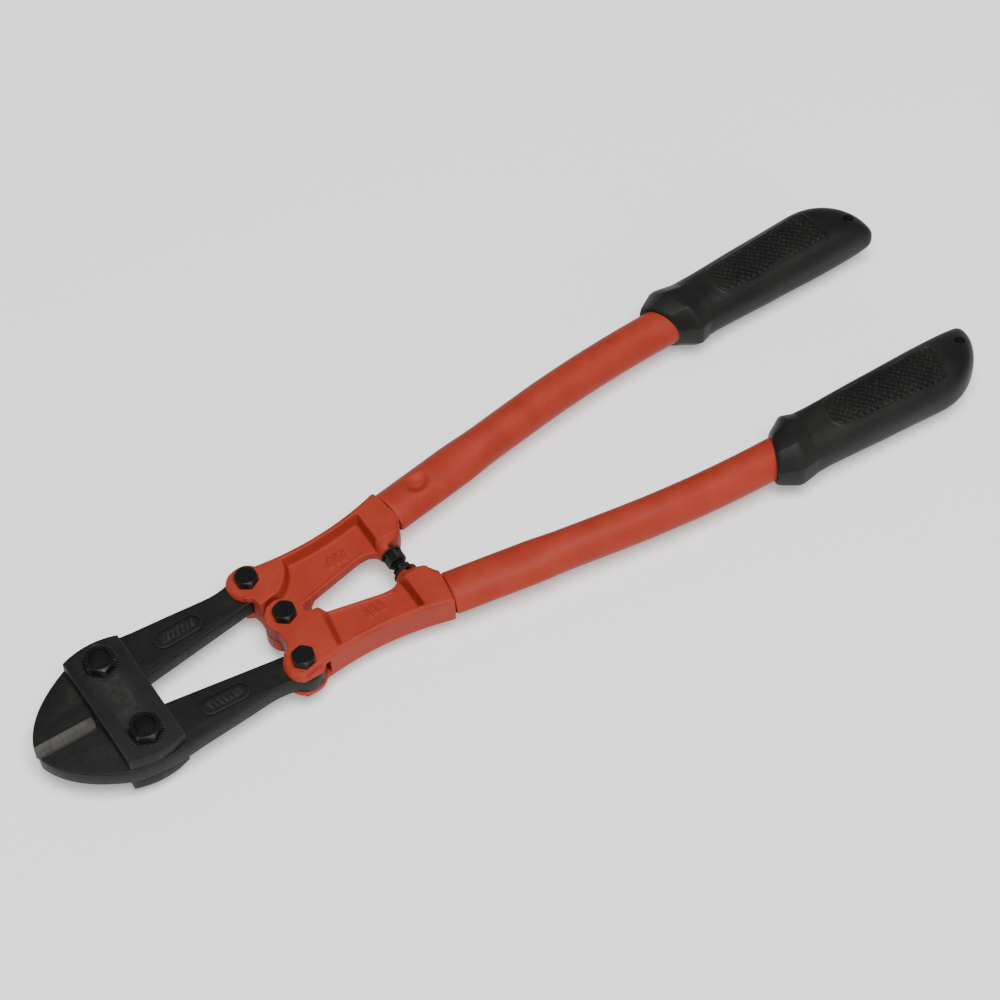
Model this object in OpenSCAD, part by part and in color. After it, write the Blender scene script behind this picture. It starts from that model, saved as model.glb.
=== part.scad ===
// Centre-cut bolt cutters with cast heads, tube handles and moulded grips.
// Modelled closed. X runs to the handles, Y across them, Z up from the bench.
// The design origin is the centre bolt; place() moves it over the middle of the tool.

/* [Linkage] */
// Distance of the strap bolts in front of the centre bolt
strap_pivot_x = 78.5; // [72:0.5:90]
// Half the distance between the two strap bolts
strap_pivot_y = 19.8; // [18:0.1:22]
// Distance of the ear bolts in front of the centre bolt
ear_pivot_x = 4.8; // [3:0.1:7]
// Half the distance between the two ear bolts
ear_pivot_y = 24.2; // [23:0.1:27]
// Play that the open centre pivot needs over the whole travel
centre_play = 1.95; // [1.9:0.05:2.2]

/* [Jaws] */
// Thickness of a jaw
jaw_t = 8.5; // [7:0.1:10]
// Length of the jaw in front of its strap bolt
nose_len = 42; // [38:0.5:50]
// Greatest half width of the closed jaws
jaw_half_w = 32; // [30.5:0.1:36]
// Radius of the eye at the back of a jaw
jaw_eye_r = 8.6; // [8:0.1:9.2]
// Width of the ground cutting bevel
bevel_w = 3.9; // [2.5:0.1:5]
// Length of the ground cutting bevel
bevel_len = 27.5; // [20:0.5:28]
// Flat left at each cutting edge
edge_land = 0.3; // [0.1:0.05:0.6]
// Gap between the closed jaws
jaw_gap = 0.1; // [0.04:0.01:0.3]
// Height of the raised jaw badge
badge_h = 0.6; // [0.3:0.1:1]

/* [Straps] */
// Width of a strap along the tool
strap_w = 26.6; // [24:0.1:30]
// Length of a strap across the tool
strap_l = 63.2; // [60:0.1:70]
// Thickness of a strap
strap_t = 6.5; // [4:0.1:8]
// Radius of a strap's rounded ends
strap_end_r = 37.5; // [34:0.5:60]

/* [Fasteners] */
// Radius of a strap bolt's shank
strap_bolt_r = 4; // [3:0.1:4.5]
// Width across flats of a strap bolt and its nut
strap_bolt_af = 13; // [12:0.1:14]
// Height of a strap bolt's head
strap_head_h = 5; // [4:0.1:6]
// Height of a strap nut
strap_nut_h = 6.5; // [5:0.1:7]
// Outer radius of a toothed washer
washer_r = 8.4; // [8:0.1:9]
// Thickness of a toothed washer
washer_t = 0.8; // [0.5:0.1:1.2]
// Radius of an ear bolt's shank
ear_bolt_r = 3; // [2.5:0.1:3.5]
// Width across flats of an ear bolt
ear_bolt_af = 9.4; // [8.5:0.1:10]
// Height of an ear bolt's head
ear_head_h = 4.4; // [3.5:0.1:5]
// Height of an ear nut
ear_nut_h = 5; // [4:0.1:6]
// Width across flats of an ear nut
ear_nut_af = 10; // [9.5:0.1:11]
// Outer radius of the washer at the centre pivot
centre_washer_r = 7.5; // [7:0.1:8]
// Thickness of the washer at the centre pivot
centre_washer_t = 1.2; // [0.8:0.1:1.6]
// Bolt end that stands out of its nut
bolt_tip = 1.2; // [0.5:0.1:2]

/* [Heads] */
// Thickness of a cast head
head_t = 16; // [14:0.2:18]
// Thickness of the thin web between the head's two pockets
web_t = 4.4; // [3:0.2:6]
// Radius of the fork ear
ear_r = 9.4; // [9.2:0.1:10.5]
// Radius of the lapped centre boss
boss_r = 8.9; // [8:0.1:9]
// Distance from the centre bolt to the tube seam
seam_x = 66; // [62:0.5:80]
// Lowest point of the hollow outer edge, measured from the tool's middle
waist_y = 27.9; // [27:0.1:29]
// Distance of that lowest point behind the centre bolt
waist_x = 23; // [15:0.5:35]
// Radius of the hollow outer edge
waist_r = 140; // [120:1:200]
// Width of the rim along the outer edge
rim_w = 2.6; // [2:0.1:4]
// Distance from the centre bolt to the stop screws
stop_x = 56.6; // [55.5:0.1:58]
// Distance from the tool's middle to the inner face of the tube socket
socket_y = 10.6; // [10:0.1:12]
// Distance from the tool's middle to the end of a stop boss
stop_boss_y = 6.4; // [5.5:0.1:8]
// Radius of a stop boss
stop_boss_r = 5.9; // [5:0.1:6.5]
// Radius of the ear's seat, inside its rounded edge
ear_seat_r = 6.6; // [6.2:0.1:8]

/* [Handles] */
// Outer diameter of a tube
tube_d = 18.3; // [17:0.1:20]
// Wall of a tube
tube_wall = 1.8; // [1.4:0.1:2.2]
// Width of the flattened tube mouth in the plane of the tool
mouth_w = 20.6; // [20:0.1:22]
// Height of the flattened tube mouth
mouth_h = 15.4; // [14.8:0.1:15.6]
// Distance from the tool's middle to the tube axis at the seam
seam_y = 25.1; // [24.5:0.1:26]
// Angle of the tube at the seam
splay = 8.8; // [7:0.1:10]
// Angle of the tube inside the grip
grip_splay = 1.5; // [0.5:0.1:3]
// Straight length of tube between the seam and the bend
straight_len = 80; // [60:1:90]
// Radius of the tube's bend
bend_r = 560; // [450:5:700]
// Distance from the centre bolt to the end of a grip
grip_end_x = 334; // [330:1:420]
// Length of a grip
grip_len = 109.5; // [100:0.5:125]
// Half width of a grip at its end
grip_half_w = 15.3; // [14:0.1:16.5]
// Half height of a grip
grip_half_h = 12; // [11.5:0.1:13.5]

/* [Hidden] */
$fn = 64;
eps = 0.01;
fit = 0.05;          // radial clearance of a pin in its bore
face_gap = 0.1;      // gap between two sliding faces
strap_z = jaw_t / 2 + face_gap;
strap_top_z = strap_z + strap_t;
head_z = head_t / 2;
web_z = web_t / 2;
fork_z = jaw_t / 2 + face_gap;
fork_r = jaw_eye_r + 0.6;
strap_pivot = [-strap_pivot_x, strap_pivot_y];
ear_pivot = [-ear_pivot_x, ear_pivot_y];
nose_x = -strap_pivot_x - nose_len;
nose_h = 3.2;        // height of the blunt nose over the cutting edge
badge_half_l = 7;
badge_r = 4.7;
badge_wall = 0.9;
turned_h = 1;        // height of the turned-off corners of a hexagon
strap_nut_z = -strap_top_z - strap_nut_h;
rest_z = -strap_nut_z + bolt_tip;
shift = [-(nose_x + grip_end_x) / 2, 0, rest_z];
steel_black = [0.13, 0.14, 0.13];
strap_grey = [0.18, 0.19, 0.18];
paint_red = [0.70, 0.25, 0.16];
grip_black = [0.17, 0.19, 0.18];
stop_hex_af = 8;
stop_shank_l = 8;
stop_nut_h = 2.8;
stop_gap = 0.1;
stop_collar_t = 0.8;
stop_collar_r = stop_hex_af / 2 + 0.9;
stop_flange_t = 1;
stop_flange_r = stop_hex_af / 2 + 1.2;
beyond = 40;         // reaches past every outer edge of a head, to be cut back
web_front = -6.5;    // front of the bridge between boss and ear
web_root = [8.5, 2.9];
web_tip = [stop_x - 10.6, socket_y + 0.5];
socket_front = stop_x - 5.6;
socket_back = seam_x - 4;
pocket_end = stop_x - 4.6;
ear_flat_y = ear_pivot_y + 8.3;
ear_edge_h = 3.5;    // height over which the ear's edge slopes to its seat
ear_plateau_r = 18.2;
lap_fit = 0.35;      // room around the other head's boss
spigot_fit = 0.3;    // room around the casting's tongue inside its tube
spigot_root = 4;
spigot_len = 34;
crimp_x = seam_x + 18;
crimp_r = 8.2;
crimp_depth = 1.2;
grip_fit = 0.1;
tube_sides = 28;
grip_sides = 36;
seam_point = [seam_x, seam_y];
bend_start = seam_point + straight_len * [cos(splay), sin(splay)];
bend_mid = bend_start + bend_r * [sin(splay), -cos(splay)];
bend_end = bend_mid + bend_r * [-sin(grip_splay), cos(grip_splay)];
grip_start_x = grip_end_x - grip_len;
grip_end_wall = 14;
tube_end_x = grip_end_x - grip_end_wall;
flat_end = seam_x + 38;
round_x = seam_x + 56;
grip_mouth = tube_d / 2 + 2;

module place() {
    translate(shift)
        children();
}

// Side b is side a turned half a turn about the tool's long axis.
module turned() {
    rotate([180, 0, 0])
        children();
}

// Side b mirrored across the tool's middle plane, for pieces that must stay upright.
module mirrored() {
    mirror([0, 1, 0])
        children();
}

function bezier(p0, p1, p2, steps) = [for (i = [0 : steps]) let (t = i / steps)
    (1 - t) * (1 - t) * p0 + 2 * t * (1 - t) * p1 + t * t * p2];

module hexagon(across_flats, height) {
    cylinder(r = across_flats / sqrt(3), h = height, $fn = 6);
}

// A hexagon whose corners are turned off at its free face.
module turned_hexagon(across_flats, height) {
    intersection() {
        hexagon(across_flats, height);
        union() {
            cylinder(r = across_flats, h = height - turned_h);
            translate([0, 0, height - turned_h - eps])
                cylinder(r1 = across_flats / 2 + 1.1, r2 = across_flats / 2 - 0.5,
                    h = turned_h + eps);
        }
    }
}

module bolt(shank_r, across_flats, head_h, length) {
    turned_hexagon(across_flats, head_h);
    translate([0, 0, -length])
        cylinder(r = shank_r, h = length + eps);
}

module nut(shank_r, across_flats, height) {
    difference() {
        turned_hexagon(across_flats, height);
        translate([0, 0, -1])
            cylinder(r = shank_r + fit, h = height + 2);
    }
}

// ---- straps ----

module strap_plate() {
    difference() {
        linear_extrude(strap_t)
            intersection() {
                translate([-strap_pivot_x, 0])
                    square([strap_w, strap_l], center = true);
                translate([-strap_pivot_x, strap_l / 2 - strap_end_r])
                    circle(strap_end_r, $fn = 160);
                translate([-strap_pivot_x, strap_end_r - strap_l / 2])
                    circle(strap_end_r, $fn = 160);
            }
        for (side = [-1, 1])
            translate([-strap_pivot_x, side * strap_pivot_y, -1])
                cylinder(r = strap_bolt_r + fit, h = strap_t + 2);
    }
}

module strap_top() {
    color(strap_grey)
        place()
            translate([0, 0, strap_z])
                strap_plate();
}

module strap_bottom() {
    color(strap_grey)
        place()
            translate([0, 0, -strap_top_z])
                strap_plate();
}

module strap_bolt(side) {
    seat = strap_top_z + washer_t;
    color(steel_black)
        place()
            translate([-strap_pivot_x, side * strap_pivot_y, seat])
                rotate([0, 0, side > 0 ? 20 : 35])
                    bolt(strap_bolt_r, strap_bolt_af, strap_head_h,
                        seat + strap_top_z + strap_nut_h + bolt_tip);
}

module strap_bolt_a() {
    strap_bolt(1);
}

module strap_bolt_b() {
    strap_bolt(-1);
}

module tooth_washer(side) {
    teeth = 18;
    color(steel_black)
        place()
            translate([-strap_pivot_x, side * strap_pivot_y, strap_top_z])
                difference() {
                    cylinder(r = washer_r, h = washer_t);
                    translate([0, 0, -1])
                        cylinder(r = strap_bolt_r + fit, h = washer_t + 2);
                    for (i = [0 : teeth - 1])
                        rotate([0, 0, i * 360 / teeth])
                            translate([washer_r, 0, washer_t / 2])
                                cube([1.2, 0.7, washer_t + 1], center = true);
                }
}

module tooth_washer_a() {
    tooth_washer(1);
}

module tooth_washer_b() {
    tooth_washer(-1);
}

module strap_nut(side) {
    color(steel_black)
        place()
            translate([-strap_pivot_x, side * strap_pivot_y, -strap_top_z])
                rotate([180, 0, 10])
                    nut(strap_bolt_r, strap_bolt_af, strap_nut_h);
}

module strap_nut_a() {
    strap_nut(1);
}

module strap_nut_b() {
    strap_nut(-1);
}

// ---- jaws ----

// Outline of jaw a, its cutting edge along Y = 0.
module jaw_outline() {
    edge_y = jaw_gap / 2;
    nose_end = [nose_x, nose_h];
    brow = [nose_x + 4.8, 19];
    flank = [-strap_pivot_x - 13.5, jaw_half_w - 2];
    crest = [-strap_pivot_x, jaw_half_w + 2];
    belly = [-strap_pivot_x + 20, jaw_half_w - 0.9];
    neck = ear_pivot + [-13, 3.6];
    eye_heel = ear_pivot + [-2, 0.4 - jaw_eye_r * 0.97];
    tail = [-strap_pivot_x + 14.5, 7.8];
    edge_end = [-strap_pivot_x - 0.5, edge_y];
    union() {
        polygon(concat(
            [[nose_x, edge_y]],
            bezier(nose_end, brow, flank, 16),
            bezier(flank, crest, belly, 8),
            [neck, ear_pivot, eye_heel, tail, edge_end]
        ));
        translate(ear_pivot)
            circle(jaw_eye_r);
    }
}

module bevel_cut() {
    reach = bevel_w + 1;
    slope = (jaw_t - edge_land) / 2 / bevel_w;
    translate([nose_x - 1, 0, 0])
        rotate([90, 0, 90])
            linear_extrude(bevel_len + 1)
                polygon([[-1, edge_land / 2], [0, edge_land / 2],
                    [reach, edge_land / 2 + reach * slope], [-1, edge_land / 2 + reach * slope]]);
}

module jaw_body() {
    badge = [-strap_pivot_x + 37, strap_pivot_y + 0.4];
    difference() {
        union() {
            translate([0, 0, -jaw_t / 2])
                linear_extrude(jaw_t)
                    jaw_outline();
            for (flip = [0, 1])
                mirror([0, 0, flip])
                    translate([badge[0], badge[1], jaw_t / 2 - eps])
                        badge_rim();
        }
        translate([-strap_pivot_x, strap_pivot_y, -jaw_t])
            cylinder(r = strap_bolt_r + fit, h = 2 * jaw_t);
        translate([ear_pivot[0], ear_pivot[1], -jaw_t])
            cylinder(r = ear_bolt_r + fit, h = 2 * jaw_t);
        bevel_cut();
        mirror([0, 0, 1])
            bevel_cut();
    }
}

module capsule(half_l, r) {
    union() {
        square([2 * half_l, 2 * r], center = true);
        for (side = [-1, 1])
            translate([side * half_l, 0])
                circle(r);
    }
}

module badge_rim() {
    linear_extrude(badge_h + eps)
        difference() {
            capsule(badge_half_l, badge_r);
            capsule(badge_half_l, badge_r - badge_wall);
        }
}

module jaw_a() {
    color(steel_black)
        place()
            jaw_body();
}

module jaw_b() {
    color(steel_black)
        place()
            mirrored()
                jaw_body();
}

// ---- cast heads ----

// Whole outline of head a in the plane of the tool.
module head_outline() {
    socket_side = [-sin(splay), cos(splay)];
    corner_out = seam_point + (mouth_w / 2 + 0.6) * socket_side;
    corner_in = seam_point - (mouth_w / 2 - 2.4) * socket_side;
    difference() {
        union() {
            difference() {
                polygon([[web_front, 0], web_root, web_tip, [socket_front, socket_y],
                    [socket_back, socket_y], corner_in, corner_out, [beyond, beyond],
                    [0, beyond], ear_pivot, ear_pivot + [-4.3, -5.8],
                    [web_front - 1.1, boss_r + 7.1], [web_front, boss_r + 3.1], [web_front, 8]]);
                translate([waist_x, waist_y + waist_r])
                    circle(waist_r, $fn = 360);
            }
            translate(ear_pivot)
                circle(ear_r);
            circle(boss_r);
        }
        // flat on the outer side of the ear
        translate([-beyond / 2, ear_flat_y])
            square([beyond, beyond]);
    }
}

// Cuts the edge of the ear down to its seat.
module ear_edge() {
    translate([ear_pivot[0], ear_pivot[1], head_z - ear_edge_h])
        difference() {
            translate([-ear_r - 1, -2, 0])
                cube([ear_r + 4, ear_r + 4, ear_edge_h + 1]);
            cylinder(r1 = ear_r + 0.5, r2 = ear_seat_r, h = ear_edge_h + eps);
            translate([0, 0, ear_edge_h])
                cylinder(r = ear_seat_r, h = 2);
            // the plateau towards the arm stays full
            translate([0, -3, -1])
                cube([5, 8.5, ear_edge_h + 3]);
        }
}

// Pockets that leave the thin web: boss face and lapped face differ.
module boss_face_pocket() {
    linear_extrude(head_z)
        difference() {
            pocket_area();
            polygon([[-beyond, -beyond], [web_root[0], -beyond], web_root, web_root + [5, 5.1],
                [web_root[0] + 3.5, beyond], [-beyond, beyond]]);
        }
}

module lapped_face_pocket() {
    linear_extrude(head_z)
        difference() {
            pocket_area();
            translate(ear_pivot + [0.8, 3.8])
                circle(ear_plateau_r, $fn = 120);
        }
}

module pocket_area() {
    difference() {
        translate([-beyond, 0])
            square([pocket_end + beyond, beyond]);
        translate([waist_x, waist_y + waist_r])
            circle(waist_r + rim_w, $fn = 360);
    }
}

// Room for the other head's boss, which wanders by the play of the open pivot.
module lap_room() {
    for (step = [0 : 0.5 : 1])
        translate([0.6 * step, centre_play * step, -face_gap / 2])
            cylinder(r = boss_r + lap_fit, h = head_z + 1);
}

module head_body(boss_bore) {
    difference() {
        union() {
            translate([0, 0, -head_z])
                linear_extrude(head_t)
                    head_outline();
            spigot();
            translate([stop_x, stop_boss_y, 0])
                rotate([-90, 0, 0])
                    cylinder(r = stop_boss_r, h = socket_y - stop_boss_y + 3);
        }
        translate([0, 0, web_z])
            lapped_face_pocket();
        mirror([0, 0, 1])
            translate([0, 0, web_z])
                boss_face_pocket();
        lap_room();
        // front of the lap, where the other boss and its ear's bridge swing in
        translate([-beyond, -boss_r - 3, -face_gap / 2])
            cube([beyond + 2, boss_r + 9, head_z + 1]);
        // fork for the jaw's eye
        translate([ear_pivot[0], ear_pivot[1], -fork_z])
            cylinder(r = fork_r, h = 2 * fork_z);
        translate([ear_pivot[0] - beyond, ear_pivot[1] - fork_r, -fork_z])
            cube([beyond, beyond, 2 * fork_z]);
        translate([ear_pivot[0] - 1, ear_pivot[1], -fork_z])
            cube([fork_r, beyond, 2 * fork_z]);
        for (flip = [0, 1])
            mirror([0, 0, flip])
                ear_edge();
        translate([ear_pivot[0], ear_pivot[1], -head_t])
            cylinder(r = ear_bolt_r + fit, h = 2 * head_t);
        translate([0, 0, -head_t])
            cylinder(r = boss_bore, h = 2 * head_t);
        translate([stop_x, 0, 0])
            rotate([-90, 0, 0])
                cylinder(r = ear_bolt_r + fit, h = stop_boss_y + stop_shank_l + 1);
    }
}

// Tongue of the casting inside the tube's flattened mouth.
module spigot() {
    half_w = mouth_w / 2 - tube_wall - spigot_fit;
    half_h = mouth_h / 2 - tube_wall - spigot_fit;
    translate([seam_x, seam_y, 0])
        rotate([0, 0, splay])
            translate([-spigot_root, 0, 0])
                rotate([90, 0, 90])
                    linear_extrude(spigot_len)
                        scale([half_w / half_h, 1])
                            circle(half_h, $fn = tube_sides);
}

module head_a() {
    color(paint_red)
        place()
            head_body(ear_bolt_r + centre_play + 0.1);
}

module head_b() {
    color(paint_red)
        place()
            turned()
                head_body(ear_bolt_r + fit);
}

// ---- ear and centre bolts ----

module ear_bolt(side) {
    color(steel_black)
        place()
            translate([-ear_pivot_x, side * ear_pivot_y, head_z])
                rotate([0, 0, side > 0 ? 27 : 15])
                    bolt(ear_bolt_r, ear_bolt_af, ear_head_h, head_t + ear_nut_h + bolt_tip);
}

module ear_bolt_a() {
    ear_bolt(1);
}

module ear_bolt_b() {
    ear_bolt(-1);
}

module ear_nut(side) {
    color(steel_black)
        place()
            translate([-ear_pivot_x, side * ear_pivot_y, -head_z])
                rotate([180, 0, 0])
                    nut(ear_bolt_r, ear_nut_af, ear_nut_h);
}

module ear_nut_a() {
    ear_nut(1);
}

module ear_nut_b() {
    ear_nut(-1);
}

module centre_bolt() {
    color(steel_black)
        place()
            translate([0, 0, head_z])
                rotate([0, 0, 22])
                    bolt(ear_bolt_r, ear_bolt_af, ear_head_h,
                        head_t + face_gap + centre_washer_t + ear_nut_h + bolt_tip);
}

module centre_washer() {
    color(steel_black)
        place()
            translate([0, 0, -head_z - face_gap - centre_washer_t])
                difference() {
                    cylinder(r = centre_washer_r, h = centre_washer_t);
                    translate([0, 0, -1])
                        cylinder(r = ear_bolt_r + fit, h = centre_washer_t + 2);
                }
}

module centre_nut() {
    color(steel_black)
        place()
            translate([0, 0, -head_z - face_gap - centre_washer_t])
                rotate([180, 0, 0])
                    nut(ear_bolt_r, ear_nut_af, ear_nut_h);
}

// ---- stop screws ----

module stop_screw_a() {
    color(steel_black)
        place()
            translate([stop_x, stop_boss_y, 0])
                rotate([90, 0, 0]) {
                    cylinder(r = stop_collar_r, h = stop_collar_t);
                    turned_hexagon(stop_hex_af, stop_boss_y - stop_gap);
                    translate([0, 0, -stop_shank_l])
                        cylinder(r = ear_bolt_r, h = stop_shank_l + eps);
                }
}

module stop_screw_b() {
    color(steel_black)
        place()
            translate([stop_x, -stop_boss_y - stop_shank_l, 0])
                rotate([-90, 0, 0])
                    cylinder(r = ear_bolt_r, h = stop_shank_l + stop_boss_y - stop_gap);
}

module stop_nut_b() {
    color(steel_black)
        place()
            translate([stop_x, -stop_boss_y, 0])
                rotate([-90, 0, 0])
                    difference() {
                        union() {
                            cylinder(r = stop_flange_r, h = stop_flange_t);
                            turned_hexagon(stop_hex_af, stop_nut_h);
                        }
                        translate([0, 0, -1])
                            cylinder(r = ear_bolt_r + fit, h = stop_nut_h + 2);
                    }
}

// ---- tubes ----

function tube_point(x) = x < bend_start[0]
    ? seam_point + (x - seam_x) * [1, tan(splay)]
    : x < bend_end[0]
        ? [x, bend_mid[1] + sqrt(bend_r * bend_r - pow(x - bend_mid[0], 2))]
        : bend_end + (x - bend_end[0]) * [1, tan(grip_splay)];

function tube_angle(x) = x < bend_start[0]
    ? splay
    : x < bend_end[0] ? asin((bend_mid[0] - x) / bend_r) : grip_splay;

// One ring of a swept oval: half width across the tool, half height, place and angle.
function ring(centre, angle, half_w, half_h, power, sides) = [for (i = [0 : sides - 1])
    let (a = i * 360 / sides, c = cos(a), s = sin(a),
        u = half_w * sign(c) * pow(abs(c), power), v = half_h * sign(s) * pow(abs(s), power))
        [centre[0] - sin(angle) * u, centre[1] + cos(angle) * u, v]];

module skin(rings) {
    sides = len(rings[0]);
    last = len(rings) - 1;
    polyhedron(
        points = [for (r = rings, p = r) p],
        faces = concat(
            [[for (i = [0 : sides - 1]) i]],
            [for (k = [0 : last - 1], i = [0 : sides - 1])
                let (j = (i + 1) % sides)
                    [k * sides + j, k * sides + i, (k + 1) * sides + i, (k + 1) * sides + j]],
            [[for (i = [sides - 1 : -1 : 0]) last * sides + i]]
        ),
        convexity = 6);
}

function flatness(x) = x < flat_end ? 1 : x > round_x ? 0
    : 0.5 + 0.5 * cos(180 * (x - flat_end) / (round_x - flat_end));
tube_stations = concat([for (x = [seam_x, flat_end]) x],
    [for (i = [1 : 5]) flat_end + i * (round_x - flat_end) / 5],
    [for (i = [0 : 12]) bend_start[0] + i * (bend_end[0] - bend_start[0]) / 12], [tube_end_x]);

module tube_solid(inset, first_extra, last_extra) {
    last = len(tube_stations) - 1;
    skin([for (k = [0 : last])
        let (x = tube_stations[k],
            far = x + (k == 0 ? -first_extra : k == last ? last_extra : 0),
            flat = flatness(x),
            half_w = tube_d / 2 + flat * (mouth_w - tube_d) / 2 - inset,
            half_h = tube_d / 2 + flat * (mouth_h - tube_d) / 2 - inset)
            ring(tube_point(far), tube_angle(x), half_w, half_h, 1, tube_sides)]);
}

module tube_body() {
    crimp = tube_point(crimp_x);
    difference() {
        tube_solid(0, 0, 0);
        tube_solid(tube_wall, 2, 2);
        translate([crimp[0], crimp[1], mouth_h / 2 + crimp_r - crimp_depth])
            sphere(r = crimp_r, $fn = 32);
    }
}

module tube_a() {
    color(paint_red)
        place()
            tube_body();
}

module tube_b() {
    color(paint_red)
        place()
            turned()
                tube_body();
}

// ---- grips ----

// Stations of a grip: share of its length, half width, half height, sideways shift,
// roundness and slant of the section.
grip_shape = [
    [0, grip_mouth, grip_mouth - 0.3, 0.2, 1, 23],
    [0.035, grip_mouth + 1.8, grip_mouth + 1.2, 0.2, 1, 20],
    [0.1, grip_mouth + 4.8, grip_mouth + 3.8, 0.3, 0.95, 14],
    [0.125, grip_mouth + 4.6, grip_mouth + 3.6, 0.4, 0.92, 13],
    [0.17, grip_mouth + 3.1, grip_mouth + 1.8, 0.4, 0.88, 8],
    [0.22, grip_half_w - 1.4, grip_half_h, 0.4, 0.82, 3],
    [0.5, grip_half_w - 0.6, grip_half_h, 0.5, 0.75, 1.5],
    [0.72, grip_half_w, grip_half_h, 0.6, 0.72, 1.5],
    [0.81, grip_half_w - 0.3, grip_half_h - 0.2, 0.2, 0.72, 1.5],
    [0.885, grip_half_w - 2, grip_half_h - 0.8, -1.6, 0.75, 1.5],
    [0.94, grip_half_w - 4.4, grip_half_h - 2, -3.8, 0.8, 1.5],
    [0.975, grip_half_w - 7, grip_half_h - 4, -5.9, 0.85, 1.5],
    [0.995, grip_half_w - 10, grip_half_h - 7, -7.3, 0.9, 1.5],
    [1, grip_half_w - 12.5, grip_half_h - 9.5, -7.9, 1, 1.5]
];

module grip_body() {
    difference() {
        skin([for (g = grip_shape)
            let (x = grip_start_x + g[0] * grip_len)
                ring(tube_point(x) + [0, g[3]], g[5], g[1], g[2], g[4], grip_sides)]);
        tube_solid(-grip_fit, 0, 0.5);
    }
}

module grip_a() {
    color(grip_black)
        place()
            grip_body();
}

module grip_b() {
    color(grip_black)
        place()
            mirrored()
                grip_body();
}

strap_top();
strap_bottom();
strap_bolt_a();
strap_bolt_b();
tooth_washer_a();
tooth_washer_b();
strap_nut_a();
strap_nut_b();
jaw_a();
jaw_b();
head_a();
head_b();
ear_bolt_a();
ear_bolt_b();
ear_nut_a();
ear_nut_b();
centre_bolt();
centre_washer();
centre_nut();
tube_a();
tube_b();
grip_a();
grip_b();
stop_screw_a();
stop_screw_b();
stop_nut_b();
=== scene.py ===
"""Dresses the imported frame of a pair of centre-cut bolt cutters.

Every piece is shaped in millimetres around the centre bolt, side a first, and is then
carried into the frame, where side b is its twin. X runs to the grips and Z points up.
"""

from __future__ import annotations

import logging
from dataclasses import dataclass, field
from enum import Enum
from math import asin, atan2, ceil, copysign, cos, degrees, pi, radians, sin, sqrt, tan
from typing import Any, Callable, Sequence, Union

import bmesh
import bpy
from mathutils import Matrix, Vector


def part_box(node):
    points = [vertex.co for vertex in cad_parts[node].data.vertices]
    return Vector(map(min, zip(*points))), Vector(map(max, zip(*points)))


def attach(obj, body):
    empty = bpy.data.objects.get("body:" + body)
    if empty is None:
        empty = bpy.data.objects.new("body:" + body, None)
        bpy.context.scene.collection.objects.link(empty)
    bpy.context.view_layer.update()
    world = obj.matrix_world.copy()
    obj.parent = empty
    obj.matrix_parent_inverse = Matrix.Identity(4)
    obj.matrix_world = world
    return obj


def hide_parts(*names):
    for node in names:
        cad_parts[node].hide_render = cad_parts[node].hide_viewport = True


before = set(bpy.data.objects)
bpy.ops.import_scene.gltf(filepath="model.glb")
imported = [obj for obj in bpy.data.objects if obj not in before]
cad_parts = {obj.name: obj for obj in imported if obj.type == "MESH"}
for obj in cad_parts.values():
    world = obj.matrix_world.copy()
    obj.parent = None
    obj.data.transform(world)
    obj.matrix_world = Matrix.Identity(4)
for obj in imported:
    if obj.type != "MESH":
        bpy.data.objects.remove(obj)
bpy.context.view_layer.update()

logging.basicConfig(level=logging.INFO, format="%(name)s: %(message)s")
LOG = logging.getLogger("bolt_cutters")

Point = tuple[float, float]
Colour = tuple[float, float, float]
Term = Union["Value", float]

MM = 0.001
FULL_TURN = 2 * pi
OVER = Matrix.Diagonal((1, 1, -1, 1))
# Points nearer than this, in millimetres, are one point.
WELD = 1e-3
# How far a cut passes the face that it opens, and a height above every face of a head or a jaw.
OVERSHOOT = 1.0
BEYOND = 9.0
# Faces around a turned shape that shows, and around a hole or a shank.
ROUND = 96
BORE = 48
# Where noise starts and ends to count as a soft blot.
SOFT = (0.3, 0.7)


class Cut(Enum):
    """How one form acts on another."""

    AWAY = "DIFFERENCE"
    JOIN = "UNION"
    KEEP = "INTERSECT"


class Side(Enum):
    """The two handles: a has its boss below, b is the same casting turned over."""

    A = "a"
    B = "b"

    @property
    def sign(self) -> int:
        """The direction of this side along Y."""
        return 1 if self is Side.A else -1

    @property
    def turned(self) -> Matrix:
        """Half a turn about the tool's long axis for side b."""
        return Matrix.Rotation(pi if self is Side.B else 0.0, 4, "X")

    @property
    def mirrored(self) -> Matrix:
        """The mirror image across the tool's middle for side b."""
        return Matrix.Diagonal((1, self.sign, 1, 1))


# ---- outlines and forms -------------------------------------------------------------


def arc(centre: Point, radius: float, start: float, end: float, steps: int) -> list[Point]:
    """Points along a circular arc.

    Args:
        centre: Middle of the circle.
        radius: Its radius.
        start: First angle in degrees, from +X.
        end: Last angle in degrees.
        steps: Number of chords.

    Returns:
        The points, both ends included.
    """
    angles = [radians(start + (end - start) * step / steps) for step in range(steps + 1)]
    return [(centre[0] + radius * cos(a), centre[1] + radius * sin(a)) for a in angles]


def curve(start: Point, pull: Point, end: Point, steps: int) -> list[Point]:
    """Points along a curve that leaves and arrives towards one pulling point.

    Args:
        start: First point.
        pull: Point that both end tangents aim at.
        end: Last point.
        steps: Number of chords.

    Returns:
        The points, both ends included.
    """
    points = []
    for step in range(steps + 1):
        t = step / steps
        first, middle, last = (1 - t) ** 2, 2 * t * (1 - t), t * t
        points.append(tuple(first * a + middle * b + last * c for a, b, c in zip(start, pull, end)))
    return points


def smooth(low: float, high: float, value: float) -> float:
    """A share from 0 to 1 that eases in and out between two values."""
    share = max(0.0, min(1.0, (value - low) / (high - low)))
    return share * share * (3 - 2 * share)


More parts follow.
